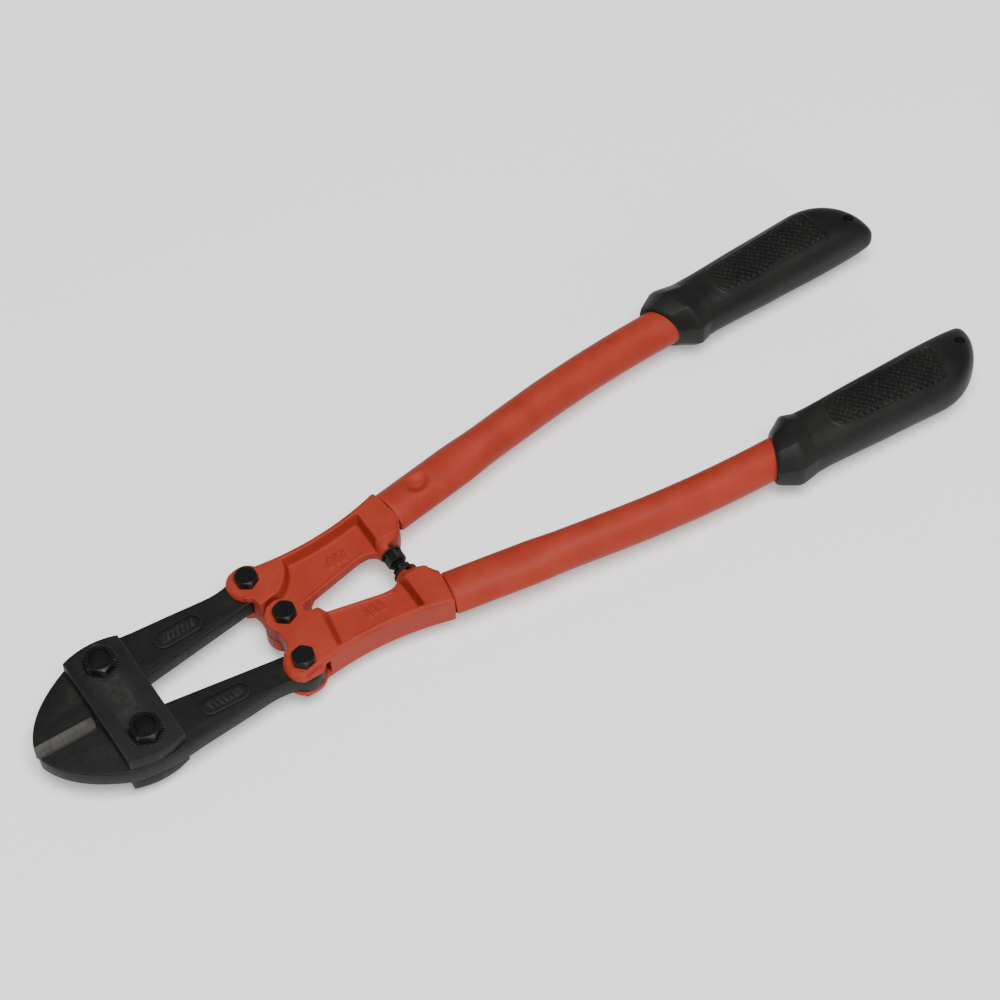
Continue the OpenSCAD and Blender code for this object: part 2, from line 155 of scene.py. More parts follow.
def spin(angle: float, axis: str = "Z") -> Matrix:
    """A turn by an angle in degrees."""
    return Matrix.Rotation(radians(angle), 4, axis)


def squared(turn: float, power: float) -> Point:
    """A point of a circle, pulled out towards a square as the power falls from 1 to 0."""
    return tuple(copysign(abs(share) ** power, share) for share in (cos(turn), sin(turn)))


def evaluated(solid: bpy.types.Object) -> bmesh.types.BMesh:
    """The mesh of an object with its modifiers carried out.

    Args:
        solid: A scratch object.

    Returns:
        A new bmesh.
    """
    bpy.context.view_layer.update()
    graph = bpy.context.evaluated_depsgraph_get()
    mesh = bmesh.new()
    result = solid.evaluated_get(graph)
    mesh.from_mesh(result.to_mesh())
    result.to_mesh_clear()
    return mesh


class Form:
    """A closed shape in millimetres, shaped with mesh operators."""

    def __init__(self, mesh: bmesh.types.BMesh) -> None:
        """Takes over a bmesh."""
        self.mesh = mesh

    @classmethod
    def plate(cls, outline: Sequence[Point], low: float, high: float) -> Form:
        """An outline in the XY plane, given a thickness.

        Args:
            outline: Corners in order.
            low: Height of the lower face.
            high: Height of the upper face.

        Returns:
            The closed plate.
        """
        return cls.tapered(outline, outline, low, high)

    @classmethod
    def tapered(cls, foot: Sequence[Point], top: Sequence[Point], low: float, high: float) -> Form:
        """A solid between two outlines with the same number of corners.

        Args:
            foot: Outline of the lower face.
            top: Outline of the upper face.
            low: Height of the lower face.
            high: Height of the upper face.

        Returns:
            The closed solid.
        """
        mesh = bmesh.new()
        number = mesh.verts.layers.int.new("number")
        face = mesh.faces.new([mesh.verts.new((x, y, low)) for x, y in foot])
        for count, vert in enumerate(face.verts):
            vert[number] = count
        made = bmesh.ops.extrude_face_region(mesh, geom=[face], use_keep_orig=True)
        for item in made["geom"]:
            if isinstance(item, bmesh.types.BMVert):
                item.co = (*top[item[number]], high)
        mesh.verts.layers.int.remove(number)
        bmesh.ops.recalc_face_normals(mesh, faces=mesh.faces[:])
        return cls(mesh)

    @classmethod
    def box(cls, low: Sequence[float], high: Sequence[float]) -> Form:
        """A block between two corners."""
        mesh = bmesh.new()
        bmesh.ops.create_cube(mesh, size=1)
        size = [b - a for a, b in zip(low, high)]
        middle = [(a + b) / 2 for a, b in zip(low, high)]
        bmesh.ops.transform(mesh, matrix=Matrix.LocRotScale(middle, None, size), verts=mesh.verts[:])
        return cls(mesh)

    @classmethod
    def lathe(cls, profile: Sequence[Point], steps: int = 64) -> Form:
        """A profile of radius and height, turned about Z.

        Args:
            profile: Points in order, from the axis back to the axis, or a closed ring.
            steps: Number of faces around.

        Returns:
            The closed turned solid.
        """
        mesh = bmesh.new()
        verts = [mesh.verts.new((radius, 0, height)) for radius, height in profile]
        pairs = list(zip(verts, verts[1:]))
        if profile[0][0] > 0:
            pairs.append((verts[-1], verts[0]))
        edges = [mesh.edges.new(pair) for pair in pairs]
        bmesh.ops.spin(mesh, geom=verts + edges, cent=(0, 0, 0), axis=(0, 0, 1), angle=FULL_TURN,
                       steps=steps, use_merge=True, use_duplicate=False)
        bmesh.ops.remove_doubles(mesh, verts=mesh.verts[:], dist=WELD / 10)
        bmesh.ops.recalc_face_normals(mesh, faces=mesh.faces[:])
        return cls(mesh)

    @classmethod
    def disc(cls, radius: float, low: float, high: float, steps: int = 64) -> Form:
        """A round plug about Z."""
        return cls.lathe([(0, low), (radius, low), (radius, high), (0, high)], steps)

    @classmethod
    def skin(cls, around: int, along: int, place: Callable[[float, float], Vector]) -> Form:
        """A sleeve wrapped from a grid, with its open ends filled.

        Args:
            around: Number of faces around.
            along: Number of faces along.
            place: Gives the point at a share around and a share along.

        Returns:
            The closed skin.
        """
        mesh = bmesh.new()
        bmesh.ops.create_grid(mesh, x_segments=around, y_segments=along, size=0.5)
        for vert in mesh.verts:
            vert.co = place(vert.co.x + 0.5, vert.co.y + 0.5)
        bmesh.ops.remove_doubles(mesh, verts=mesh.verts[:], dist=WELD)
        rims = [edge for edge in mesh.edges if edge.is_boundary]
        if rims:
            bmesh.ops.holes_fill(mesh, edges=rims, sides=0)
        bmesh.ops.recalc_face_normals(mesh, faces=mesh.faces[:])
        return cls(mesh)

    def bevel(self, width: float, chosen: Callable[[bmesh.types.BMEdge], bool], steps: int = 3) -> Form:
        """Rounds the edges that a test picks.

        Args:
            width: Width of the rounding.
            chosen: Says whether an edge is rounded.
            steps: Number of faces across the rounding.

        Returns:
            This form.
        """
        edges = [edge for edge in self.mesh.edges if chosen(edge)]
        bmesh.ops.bevel(self.mesh, geom=edges, offset=width, offset_type="OFFSET", affect="EDGES",
                        segments=steps, profile=0.5, material=-1, clamp_overlap=True)
        return self

    def moved(self, *steps: Matrix) -> Form:
        """Moves the form by each matrix in turn."""
        for step in steps:
            bmesh.ops.transform(self.mesh, matrix=step, verts=self.mesh.verts[:])
            if step.determinant() < 0:
                bmesh.ops.reverse_faces(self.mesh, faces=self.mesh.faces[:])
        return self

    def at(self, x: float, y: float, z: float = 0.0) -> Form:
        """Shifts the form."""
        return self.moved(Matrix.Translation((x, y, z)))

    def copy(self) -> Form:
        """A twin of this form."""
        return Form(self.mesh.copy())

    def scratch(self, name: str) -> bpy.types.Object:
        """A scratch object that holds this form's mesh."""
        data = bpy.data.meshes.new(name)
        self.mesh.to_mesh(data)
        made = bpy.data.objects.new(name, data)
        bpy.context.scene.collection.objects.link(made)
        return made

    def worked(self, change: Callable[[bpy.types.Object], None], *helpers: bpy.types.Object) -> Form:
        """Carries out modifiers on a scratch object and takes back the mesh.

        Args:
            change: Adds the modifiers.
            helpers: Other scratch objects to remove afterwards.

        Returns:
            This form.
        """
        solid = self.scratch("scratch_solid")
        change(solid)
        self.mesh = evaluated(solid)
        for scrap in (solid, *helpers):
            data = scrap.data
            bpy.data.objects.remove(scrap)
            bpy.data.meshes.remove(data)
        return self

    def combined(self, other: Form, how: Cut) -> Form:
        """Cuts, joins or crosses this form with another.

        Args:
            other: The form that acts on this one.
            how: What it does.

        Returns:
            This form.
        """
        tool = other.scratch("scratch_tool")

        def change(solid: bpy.types.Object) -> None:
            """Adds the boolean."""
            modifier = solid.modifiers.new("combine", "BOOLEAN")
            modifier.operation = how.value
            modifier.solver = "MANIFOLD"
            modifier.object = tool

        return self.worked(change, tool)

    def cut(self, *others: Form) -> Form:
        """Takes other forms away from this one."""
        for other in others:
            self.combined(other, Cut.AWAY)
        return self

    def join(self, *others: Form) -> Form:
        """Melts other forms into this one."""
        for other in others:
            self.combined(other, Cut.JOIN)
        return self

    def keep(self, other: Form) -> Form:
        """Keeps only what lies inside another form."""
        return self.combined(other, Cut.KEEP)

    def cast(self, cell: float, passes: int) -> Form:
        """Gives the whole surface the soft edges of a casting.

        Args:
            cell: Size of the even faces.
            passes: Number of smoothing passes.

        Returns:
            This form.
        """

        def change(solid: bpy.types.Object) -> None:
            """Adds the even faces and the smoothing."""
            even = solid.modifiers.new("even", "REMESH")
            even.mode = "VOXEL"
            even.voxel_size = cell
            soft = solid.modifiers.new("soft", "SMOOTH")
            soft.factor = 0.5
            soft.iterations = passes

        return self.worked(change)

    def loose_edges(self) -> int:
        """Number of edges that don't join exactly two faces."""
        return sum(not edge.is_manifold for edge in self.mesh.edges)


def is_rim(edge: bmesh.types.BMEdge) -> bool:
    """True for an edge between a flat face and an upright wall."""
    if len(edge.link_faces) != 2:
        return False
    flat, wall = sorted((abs(face.normal.z) for face in edge.link_faces), reverse=True)
    return flat > 0.9 and wall < 0.3


def is_upright(edge: bmesh.types.BMEdge) -> bool:
    """True for an edge that runs along Z."""
    first, last = (vert.co for vert in edge.verts)
    return (first.xy - last.xy).length < WELD


# ---- materials ----------------------------------------------------------------------


class Value:
    """A number inside a material, with Python's operators as Math nodes."""

    def __init__(self, shade: Shade, socket: bpy.types.NodeSocket) -> None:
        """Wraps one output socket."""
        self.shade = shade
        self.socket = socket

    def math(self, operation: str, *terms: Term) -> Value:
        """A Math node over some terms."""
        node = self.shade.node("ShaderNodeMath", {"operation": operation}, dict(enumerate(terms)))
        return Value(self.shade, node.outputs[0])

    def __add__(self, other: Term) -> Value:
        """This plus a term."""
        return self.math("ADD", self, other)

    def __radd__(self, other: Term) -> Value:
        """A term plus this."""
        return self.math("ADD", other, self)

    def __sub__(self, other: Term) -> Value:
        """This minus a term."""
        return self.math("SUBTRACT", self, other)

    def __rsub__(self, other: Term) -> Value:
        """A term minus this."""
        return self.math("SUBTRACT", other, self)

    def __mul__(self, other: Term) -> Value:
        """This times a term."""
        return self.math("MULTIPLY", self, other)

    def __rmul__(self, other: Term) -> Value:
        """A term times this."""
        return self.math("MULTIPLY", other, self)

    def between(self, low: float, high: float) -> Value:
        """A share from 0 to 1 that eases from one value to another."""
        settings = {"interpolation_type": "SMOOTHSTEP", "clamp": True}
        node = self.shade.node("ShaderNodeMapRange", settings, {0: self, 1: low, 2: high, 3: 0.0, 4: 1.0})
        return Value(self.shade, node.outputs[0])


class Shade:
    """The node tree of one material."""

    def __init__(self, name: str) -> None:
        """Makes an empty material with its shader."""
        self.material = bpy.data.materials.new(name)
        self.material.use_nodes = True
        self.tree = self.material.node_tree
        self.tree.nodes.clear()
        self.shader = self.node("ShaderNodeBsdfPrincipled")
        output = self.node("ShaderNodeOutputMaterial")
        self.tree.links.new(self.shader.outputs[0], output.inputs[0])
        place = self.node("ShaderNodeTexCoord").outputs["Object"]
        scaled = self.node("ShaderNodeVectorMath", {"operation": "SCALE"}, {0: place, "Scale": 1 / MM})
        self.place = scaled.outputs[0]

    def node(self, kind: str, settings: dict[str, Any] | None = None,
             inputs: dict[Any, Any] | None = None) -> bpy.types.Node:
        """Adds a node.

        Args:
            kind: Its type.
            settings: Properties to set first.
            inputs: Values or links of its sockets, by name or number.

        Returns:
            The node.
        """
        made = self.tree.nodes.new(kind)
        for name, value in (settings or {}).items():
            setattr(made, name, value)
        for key, value in (inputs or {}).items():
            if isinstance(value, Value):
                value = value.socket
            if isinstance(value, bpy.types.NodeSocket):
                self.tree.links.new(value, made.inputs[key])
            else:
                made.inputs[key].default_value = value
        return made

    def noise(self, pitch: float, detail: float = 3.0, stretch: Colour = (1, 1, 1)) -> Value:
        """Noise whose blots are a number of millimetres across.

        Args:
            pitch: Size of a blot.
            detail: Number of finer layers.
            stretch: Share of the pattern's rate along each axis.

        Returns:
            The noise, about 0.5 on average.
        """
        mapped = self.node("ShaderNodeVectorMath", {"operation": "MULTIPLY"}, {0: self.place, 1: stretch})
        node = self.node("ShaderNodeTexNoise", {},
                         {"Vector": mapped.outputs[0], "Scale": 1 / pitch, "Detail": detail})
        return Value(self, node.outputs["Fac"])

    def mix(self, share: Term, first: Any, second: Any) -> bpy.types.NodeSocket:
        """A colour between two colours."""
        ends = [(*c, 1.0) if isinstance(c, tuple) else c for c in (first, second)]
        node = self.node("ShaderNodeMix", {"data_type": "RGBA"}, {0: share, 6: ends[0], 7: ends[1]})
        return node.outputs[2]

    def edges(self, low: float, high: float) -> Value:
        """How far a point stands out on a ridge, from 0 to 1."""
        sharpness = self.node("ShaderNodeNewGeometry").outputs["Pointiness"]
        return Value(self, sharpness).between(low, high)

    def set(self, **constants: Any) -> None:
        """Sets constants on the shader's own sockets."""
        for name, value in constants.items():
            self.shader.inputs[name.replace("_", " ")].default_value = value

    def feed(self, name: str, value: Any) -> None:
        """Links something that varies into the shader."""
        socket = value.socket if isinstance(value, Value) else value
        self.tree.links.new(socket, self.shader.inputs[name])

    def bump(self, height: Value, depth: float) -> None:
        """Raises the surface by a height, in millimetres at most."""
        inputs = {"Height": height, "Distance": depth * MM, "Strength": 1.0}
        self.feed("Normal", self.node("ShaderNodeBump", {}, inputs).outputs[0])


@dataclass(frozen=True)
class Enamel:
    """Semi-matt red stoving enamel, over a cast or a drawn surface."""

    name: str
    grain_pitch: float
    grain_depth: float
    body: Colour = (0.265, 0.0235, 0.0115)
    # pale: random paler tone, and colour of the painted edge highlight and worn paint on ridges.
    pale: Colour = (0.36, 0.048, 0.027)
    # deep: colour of the painted shade in the hollows.
    deep: Colour = (0.11, 0.009, 0.005)
    ridge_highlight_and_wear_low: float = 0.51
    ridge_highlight_and_wear_high: float = 0.6
    hollow_shade_low: float = 0.49
    hollow_shade_high: float = 0.42

    def material(self) -> bpy.types.Material:
        """Paints clouds of tone, painted shade in the hollows and paler ridges for painted edge highlight
        and worn paint, over the grain.
        """
        shade = Shade(self.name)
        clouds = shade.noise(14.0).between(*SOFT)
        specks = shade.noise(0.9, 2.0).between(0.35, 0.75)
        tone = shade.mix(clouds * 0.35 + specks * 0.2, self.body, self.pale)
        # Painted shade: hollows, where pointiness is low, darken towards deep.
        tone = shade.mix(shade.edges(self.hollow_shade_low, self.hollow_shade_high) * 0.75, tone, self.deep)
        # Painted edge highlight with worn paint: ridges turn paler.
        tone = shade.mix(shade.edges(self.ridge_highlight_and_wear_low, self.ridge_highlight_and_wear_high) * 0.55, tone, self.pale)
        shade.feed("Base Color", tone)
        shade.feed("Roughness", 0.5 + clouds * 0.08 + specks * 0.08)
        shade.set(IOR=1.5, Specular_IOR_Level=0.16)
        shade.bump(shade.noise(self.grain_pitch, 3.0), self.grain_depth)
        return shade.material


@dataclass(frozen=True)
class BlackSteel:
    """Blackened steel with a fine mottle, and edges paled by rubbing and by painted highlight."""

    name: str
    body: Colour = (0.008, 0.0085, 0.0078)
    # Colour of edges paled by rubbing and by painted highlight.
    rub_and_highlight: Colour = (0.07, 0.068, 0.062)
    roughness: float = 0.42
    metallic: float = 0.0
    mottle_pitch: float = 1.3
    grain_depth: float = 0.05
    rub_and_highlight_share: float = 0.4

    def material(self) -> bpy.types.Material:
        """Mottles the blacking and pales its edges with rubbing and a painted highlight."""
        shade = Shade(self.name)
        mottle = shade.noise(self.mottle_pitch, 4.0).between(0.35, 0.7)
        clouds = shade.noise(11.0).between(*SOFT)
        lighter = tuple(channel * 1.7 for channel in self.body)
        tone = shade.mix(mottle * 0.35 + clouds * 0.3, self.body, lighter)
        # Painted edge highlight with rubbing: pointed edges turn paler.
        rub_and_highlight_mask = shade.edges(0.515, 0.6) * (0.4 + shade.noise(3.0).between(*SOFT) * 0.6)
        tone = shade.mix(rub_and_highlight_mask * self.rub_and_highlight_share, tone, self.rub_and_highlight)
        shade.feed("Base Color", tone)
        shade.feed("Roughness", self.roughness + mottle * 0.12 + clouds * 0.06)
        shade.set(Metallic=self.metallic, IOR=1.5, Specular_IOR_Level=0.12)
        shade.bump(shade.noise(0.55, 3.0), self.grain_depth)
        return shade.material


@dataclass(frozen=True)
class GroundSteel:
    """Bright steel of the ground cutting bevels, with wheel marks across it."""

    name: str
    body: Colour = (0.085, 0.08, 0.073)
    dull: Colour = (0.045, 0.043, 0.04)

    def material(self) -> bpy.types.Material:
        """Streaks the bevel along the wheel's marks."""
        shade = Shade(self.name)
        marks = shade.noise(0.5, 3.0, (1.0, 0.08, 0.08)).between(*SOFT)
        clouds = shade.noise(5.0).between(*SOFT)
        shade.feed("Base Color", shade.mix(marks * 0.5 + clouds * 0.3, self.body, self.dull))
        shade.feed("Roughness", 0.34 + marks * 0.14)
        shade.set(Metallic=0.3)
        shade.bump(marks, 0.02)
        return shade.material


@dataclass(frozen=True)
class Vinyl:
    """Soft black dipped grip with a faint leather grain and handling shine."""

    name: str
    body: Colour = (0.007, 0.0078, 0.007)
    # Colour of the dust clouds and of the painted highlight on ridges.
    dust_and_ridge_highlight: Colour = (0.026, 0.026, 0.023)

    def material(self) -> bpy.types.Material:
        """Dusts the clouds, paints highlight on the ridges, polishes the clouds that hands touch."""
        shade = Shade(self.name)
        clouds = shade.noise(22.0).between(*SOFT)
        grain = shade.noise(0.7, 3.0)
        tone = shade.mix(clouds * 0.3 + grain.between(0.4, 0.8) * 0.3, self.body, self.dust_and_ridge_highlight)
        # Painted highlight: ridges turn paler.
        tone = shade.mix(shade.edges(0.52, 0.6) * 0.5, tone, self.dust_and_ridge_highlight)
        shade.feed("Base Color", tone)
        shade.feed("Roughness", 0.4 + clouds * 0.12 + grain * 0.1)
        shade.set(IOR=1.5, Specular_IOR_Level=0.14)
        shade.bump(grain, 0.05)
        return shade.material


@dataclass
class Finishes:
    """The finishes that the tool's maker uses."""

    cast_enamel: bpy.types.Material = field(
        default_factory=lambda: Enamel("cast_enamel", grain_pitch=0.8, grain_depth=0.28).material())
    tube_enamel: bpy.types.Material = field(
        default_factory=lambda: Enamel("tube_enamel", grain_pitch=1.6, grain_depth=0.05).material())
    jaw_steel: bpy.types.Material = field(
        default_factory=lambda: BlackSteel("jaw_steel", grain_depth=0.14).material())
    strap_steel: bpy.types.Material = field(
        default_factory=lambda: BlackSteel("strap_steel", body=(0.0085, 0.0097, 0.0088), mottle_pitch=0.9,
                                           roughness=0.46).material())
    bolt_steel: bpy.types.Material = field(
        default_factory=lambda: BlackSteel("bolt_steel", body=(0.005, 0.0053, 0.005), roughness=0.3,
                                           grain_depth=0.02).material())
    ground_steel: bpy.types.Material = field(
        default_factory=lambda: GroundSteel("ground_steel").material())
    vinyl: bpy.types.Material = field(default_factory=lambda: Vinyl("grip_vinyl").material())


# ---- the frame ----------------------------------------------------------------------


@dataclass(frozen=True)
class Layout:
    """Places in millimetres from the centre bolt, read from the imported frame."""

    origin: Vector
    strap_bolt: Point
    ear_bolt: Point

    @classmethod
    def read(cls) -> Layout:
        """Reads the pivots from the boxes of the pieces that sit on them."""
        washer = sum(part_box("centre_washer"), Vector()) / 2
        head = sum(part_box("head_a"), Vector()) / 2
        origin = Vector((washer.x, washer.y, head.z))
        strap = (sum(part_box("tooth_washer_a"), Vector()) / 2 - origin) / MM
        ear = (sum(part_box("ear_nut_a"), Vector()) / 2 - origin) / MM
        return cls(origin, (strap.x, strap.y), (ear.x, ear.y))

    def box(self, node: str) -> tuple[Vector, Vector]:
        """Lowest and highest corner of a node, in millimetres from the centre bolt."""
        low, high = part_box(node)
        return (low - self.origin) / MM, (high - self.origin) / MM

    @property
    def into_frame(self) -> Matrix:
        """Carries millimetres about the centre bolt into the frame."""
        return Matrix.Translation(self.origin) @ Matrix.Scale(MM, 4)


@dataclass
class Bench:
    """Hands finished forms over to the frame."""

    layout: Layout
    finishes: Finishes
    fastener_slot: str = "fastener_steel"
    fastener_crease: float = 22.0

    def deliver(self, form: Form, node: str, body: str, slot: str, *materials: bpy.types.Material,
                crease: float = 38.0) -> bpy.types.Object:
        """Makes an object of a form, in the place of a CAD node.

        Args:
            form: The finished form, about the centre bolt.
            node: The node that it stands for, which also gives its name.
            body: The body that it rides on.
            slot: The record's material slot; not used.
            materials: Its finishes, in the order of the faces' numbers.
            crease: Angle between two faces, in degrees, from which their edge looks sharp.

        Returns:
            The piece.
        """
        form.moved(self.layout.into_frame)
        name = f"{node}_finished"
        data = bpy.data.meshes.new(name)
        form.mesh.to_mesh(data)
        for material in materials:
            data.materials.append(material)
        data.shade_smooth()
        data.set_sharp_from_angle(angle=radians(crease))
        piece = bpy.data.objects.new(name, data)
        bpy.context.scene.collection.objects.link(piece)
        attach(piece, body)
        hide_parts(node)
        LOG.info("%s on %s: %d faces, %d loose edges", piece.name, body, len(data.polygons),
                 form.loose_edges())
        return piece

    def fastener(self, form: Form, node: str, body: str) -> None:
        """Hands over a bolt, a nut or a screw in its blackened steel."""
        self.deliver(form, node, body, self.fastener_slot, self.finishes.bolt_steel,
                     crease=self.fastener_crease)


# ---- bolts, nuts and washers --------------------------------------------------------


@dataclass
class HexPart:
    """The size of a hexagon: a bolt's head or a nut, standing on Z = 0."""

    across: float
    height: float
    collar_h: float = 0.35
    corner_round: float = 0.25
    chamfer: float = 0.9
    dish_r: float = 0.0
    dish_depth: float = 0.0
    dish_floor_r: float = 2.3
    collar_share: float = 0.97
    crown_inset: float = 0.35
    corner_clear: float = 0.2

    def form(self) -> Form:
        """A six-sided block with a turned collar, turned corners and an optional dish."""
        corner_r = self.across / sqrt(3)
        prism = Form.plate([(corner_r * cos(k * pi / 3), corner_r * sin(k * pi / 3)) for k in range(6)],
                           0, self.height)
        prism.bevel(self.corner_round, is_upright, 2)
        flat_r = self.across / 2
        top_r = flat_r - self.crown_inset
        past_r = corner_r + self.corner_clear
        collar_r = flat_r * self.collar_share
        collar = [(0, 0), (collar_r, 0), (collar_r, self.collar_h), (past_r, self.collar_h + 0.25)]
        crown = [(past_r, self.height - self.chamfer), (top_r + 0.12, self.height - 0.12),
                 (top_r - 0.1, self.height)]
        middle = [(0, self.height)]
        if self.dish_r:
            middle = [(self.dish_r, self.height), (self.dish_r - 0.5, self.height - self.dish_depth),
                      (self.dish_floor_r, self.height - self.dish_depth * 0.8),
                      (0, self.height - self.dish_depth * 0.55)]
        return prism.keep(Form.lathe(collar + crown + middle, ROUND))


def threaded(radius: float, low: float, high: float, pitch: float = 1.0) -> Form:
    """A bolt's end with its thread cut as fine rings.

    Args:
        radius: Outer radius of the thread.
        low: Height of its chamfered end.
        high: Height where it goes into its nut.
        pitch: Distance between two crests.

    Returns:
        The turned rod.
    """
    root = radius - 0.55 * pitch
    rings = max(1, ceil((high - low) / pitch))
    step = (high - low) / rings
    profile = [(0, low), (root - 0.15, low)]
    for ring in range(rings):
        base = low + (high - low) * ring / rings
        profile += [(root, base + 0.12 * step), (radius, base + 0.5 * step), (root, base + 0.88 * step)]
    profile += [(root, high), (0, high)]
    return Form.lathe(profile, BORE)


@dataclass
class Fasteners:
    """Everything that holds the straps, the jaws and the heads together."""

    bench: Bench
    strap_across: float = 13.0
    strap_shank_r: float = 4.0
    pin_nut_across: float = 10.0
    pin_r: float = 3.0
    thread_clear: float = 0.04
    tooth_count: int = 36
    tooth_depth: float = 1.5
    strap_turns: dict[Side, float] = field(default_factory=lambda: {Side.A: 20.0, Side.B: 35.0})
    ear_turns: dict[Side, float] = field(default_factory=lambda: {Side.A: 27.0, Side.B: 15.0})
    centre_turn: float = 22.0
    strap_nut_turn: float = -10.0

    def bolt(self, node: str, body: str, seat: float, head: HexPart, shank_r: float, nut_end: float,
             turn: float, place: Point) -> None:
        """A hexagon bolt with a smooth shank and a threaded end.

        Args:
            node: The node that it stands for.
            body: The body that it rides on.
            seat: Height of the face under its head.
            head: Its head.
            shank_r: Radius of its shank.
            nut_end: Height where the thread begins, at the top of its nut.
            turn: How far the head is turned, in degrees.
            place: Where it stands.
        """
        tip = self.bench.layout.box(node)[0].z
        form = head.form().moved(spin(turn)).at(0, 0, seat)
        shank = Form.disc(shank_r, nut_end, seat + OVERSHOOT, BORE)
        form.join(shank, threaded(shank_r, tip, nut_end + 0.2))
        self.bench.fastener(form.at(*place), node, body)

    def nut(self, node: str, body: str, across: float, bore_r: float) -> None:
        """A plain nut, turned corners down.

        Args:
            node: The node that it stands for.
            body: The body that it rides on.
            across: Width across its flats.
            bore_r: Radius of its hole.
        """
        low, high = self.bench.layout.box(node)
        height = high.z - low.z
        form = HexPart(across, height, chamfer=1.0).form()
        hole_r, mouth_r = bore_r + self.thread_clear, bore_r + OVERSHOOT
        bore = [(0, -OVERSHOOT), (mouth_r, -OVERSHOOT), (hole_r, 0.5), (hole_r, height - 0.4),
                (mouth_r, height + OVERSHOOT), (0, height + OVERSHOOT)]
        form.cut(Form.lathe(bore, BORE))
        turn = self.strap_nut_turn if node.startswith("strap") else 0.0
        form.moved(spin(180, "X") @ spin(turn))
        self.bench.fastener(form.at((low.x + high.x) / 2, (low.y + high.y) / 2, high.z), node, body)

    def tooth_washer(self, side: Side) -> None:
        """A lock washer with a ring of small twisted teeth."""
        node = f"tooth_washer_{side.value}"
        low, high = self.bench.layout.box(node)
        outer = (high.x - low.x) / 2
        inner = outer - self.tooth_depth
        outline = []
        step = 360 / self.tooth_count
        for tooth in range(self.tooth_count):
            start = 360 * tooth / self.tooth_count
            outline += arc((0, 0), inner, start, start + step * 0.36, 1)
            outline += arc((0, 0), outer, start + step * 0.5, start + step * 0.86, 1)
        form = Form.plate(outline, low.z, high.z)
        form.cut(Form.disc(self.strap_shank_r + 0.1, low.z - OVERSHOOT, high.z + OVERSHOOT, BORE))
        place = self.bench.layout.strap_bolt
        form.at(place[0], side.sign * place[1])
        self.bench.deliver(form, node, "straps", self.bench.fastener_slot, self.bench.finishes.strap_steel,
                           crease=self.bench.fastener_crease)

    def centre_washer(self) -> None:
        """The flat washer under the centre nut."""
        low, high = self.bench.layout.box("centre_washer")
        outer = (high.x - low.x) / 2
        inner = self.pin_r + 0.05
        edge = 0.25
        profile = [(inner, low.z), (outer - edge, low.z), (outer, low.z + edge), (outer, high.z - edge),
                   (outer - edge, high.z), (inner, high.z)]
        self.bench.fastener(Form.lathe(profile), "centre_washer", "handle_b")

    def build(self) -> None:
        """Makes every bolt, nut and washer."""
        layout = self.bench.layout
        strap_head = HexPart(self.strap_across, 5.0, dish_r=4.6, dish_depth=0.9)
        pin_head = HexPart(9.4, 4.4)
        pin_seat = layout.box("head_a")[1].z
        for side in Side:
            name = side.value
            strap = (layout.strap_bolt[0], side.sign * layout.strap_bolt[1])
            ear = (layout.ear_bolt[0], side.sign * layout.ear_bolt[1])
            seat = layout.box(f"tooth_washer_{name}")[1].z
            self.tooth_washer(side)
            self.bolt(f"strap_bolt_{name}", "straps", seat, strap_head, self.strap_shank_r,
                      layout.box(f"strap_nut_{name}")[1].z, self.strap_turns[side], strap)
            self.nut(f"strap_nut_{name}", "straps", self.strap_across, self.strap_shank_r)
            body = f"handle_{name}"
            self.bolt(f"ear_bolt_{name}", body, pin_seat, pin_head, self.pin_r,
                      layout.box(f"ear_nut_{name}")[1].z, self.ear_turns[side], ear)
            self.nut(f"ear_nut_{name}", body, self.pin_nut_across, self.pin_r)
        self.bolt("centre_bolt", "handle_b", pin_seat, pin_head, self.pin_r,
                  layout.box("centre_nut")[1].z, self.centre_turn, (0, 0))
        self.centre_washer()
        self.nut("centre_nut", "handle_b", self.pin_nut_across, self.pin_r)


# ---- straps -------------------------------------------------------------------------


@dataclass
class Strap:
    """One of the two plates that hold the jaws together."""

    bench: Bench
    end_r: float = 37.5
    edge_round: float = 0.5
    bore_r: float = 4.05

    def outline(self, half_w: float, half_l: float) -> list[Point]:
        """A strip with bowed ends, about its own middle.

        Args:
            half_w: Half its width.
            half_l: Half its length, over the bows.

        Returns:
            The outline.
        """
        swing = degrees(asin(half_w / self.end_r))
        top = arc((0, half_l - self.end_r), self.end_r, 90 - swing, 90 + swing, 20)
        low = arc((0, self.end_r - half_l), self.end_r, 270 - swing, 270 + swing, 20)
        return top + low

    def build(self, node: str) -> None:
        """Makes one strap."""
        low, high = self.bench.layout.box(node)
        outline = self.outline((high.x - low.x) / 2, (high.y - low.y) / 2)
        form = Form.plate(outline, low.z, high.z)
        form.bevel(self.edge_round, is_rim, 3)
        form.at((high.x + low.x) / 2, 0)
        place = self.bench.layout.strap_bolt
        for side in Side:
            bore = Form.disc(self.bore_r, low.z - OVERSHOOT, high.z + OVERSHOOT, BORE)
            form.cut(bore.at(place[0], side.sign * place[1]))
        self.bench.deliver(form, node, "straps", "strap_steel", self.bench.finishes.strap_steel)


# ---- jaws ---------------------------------------------------------------------------


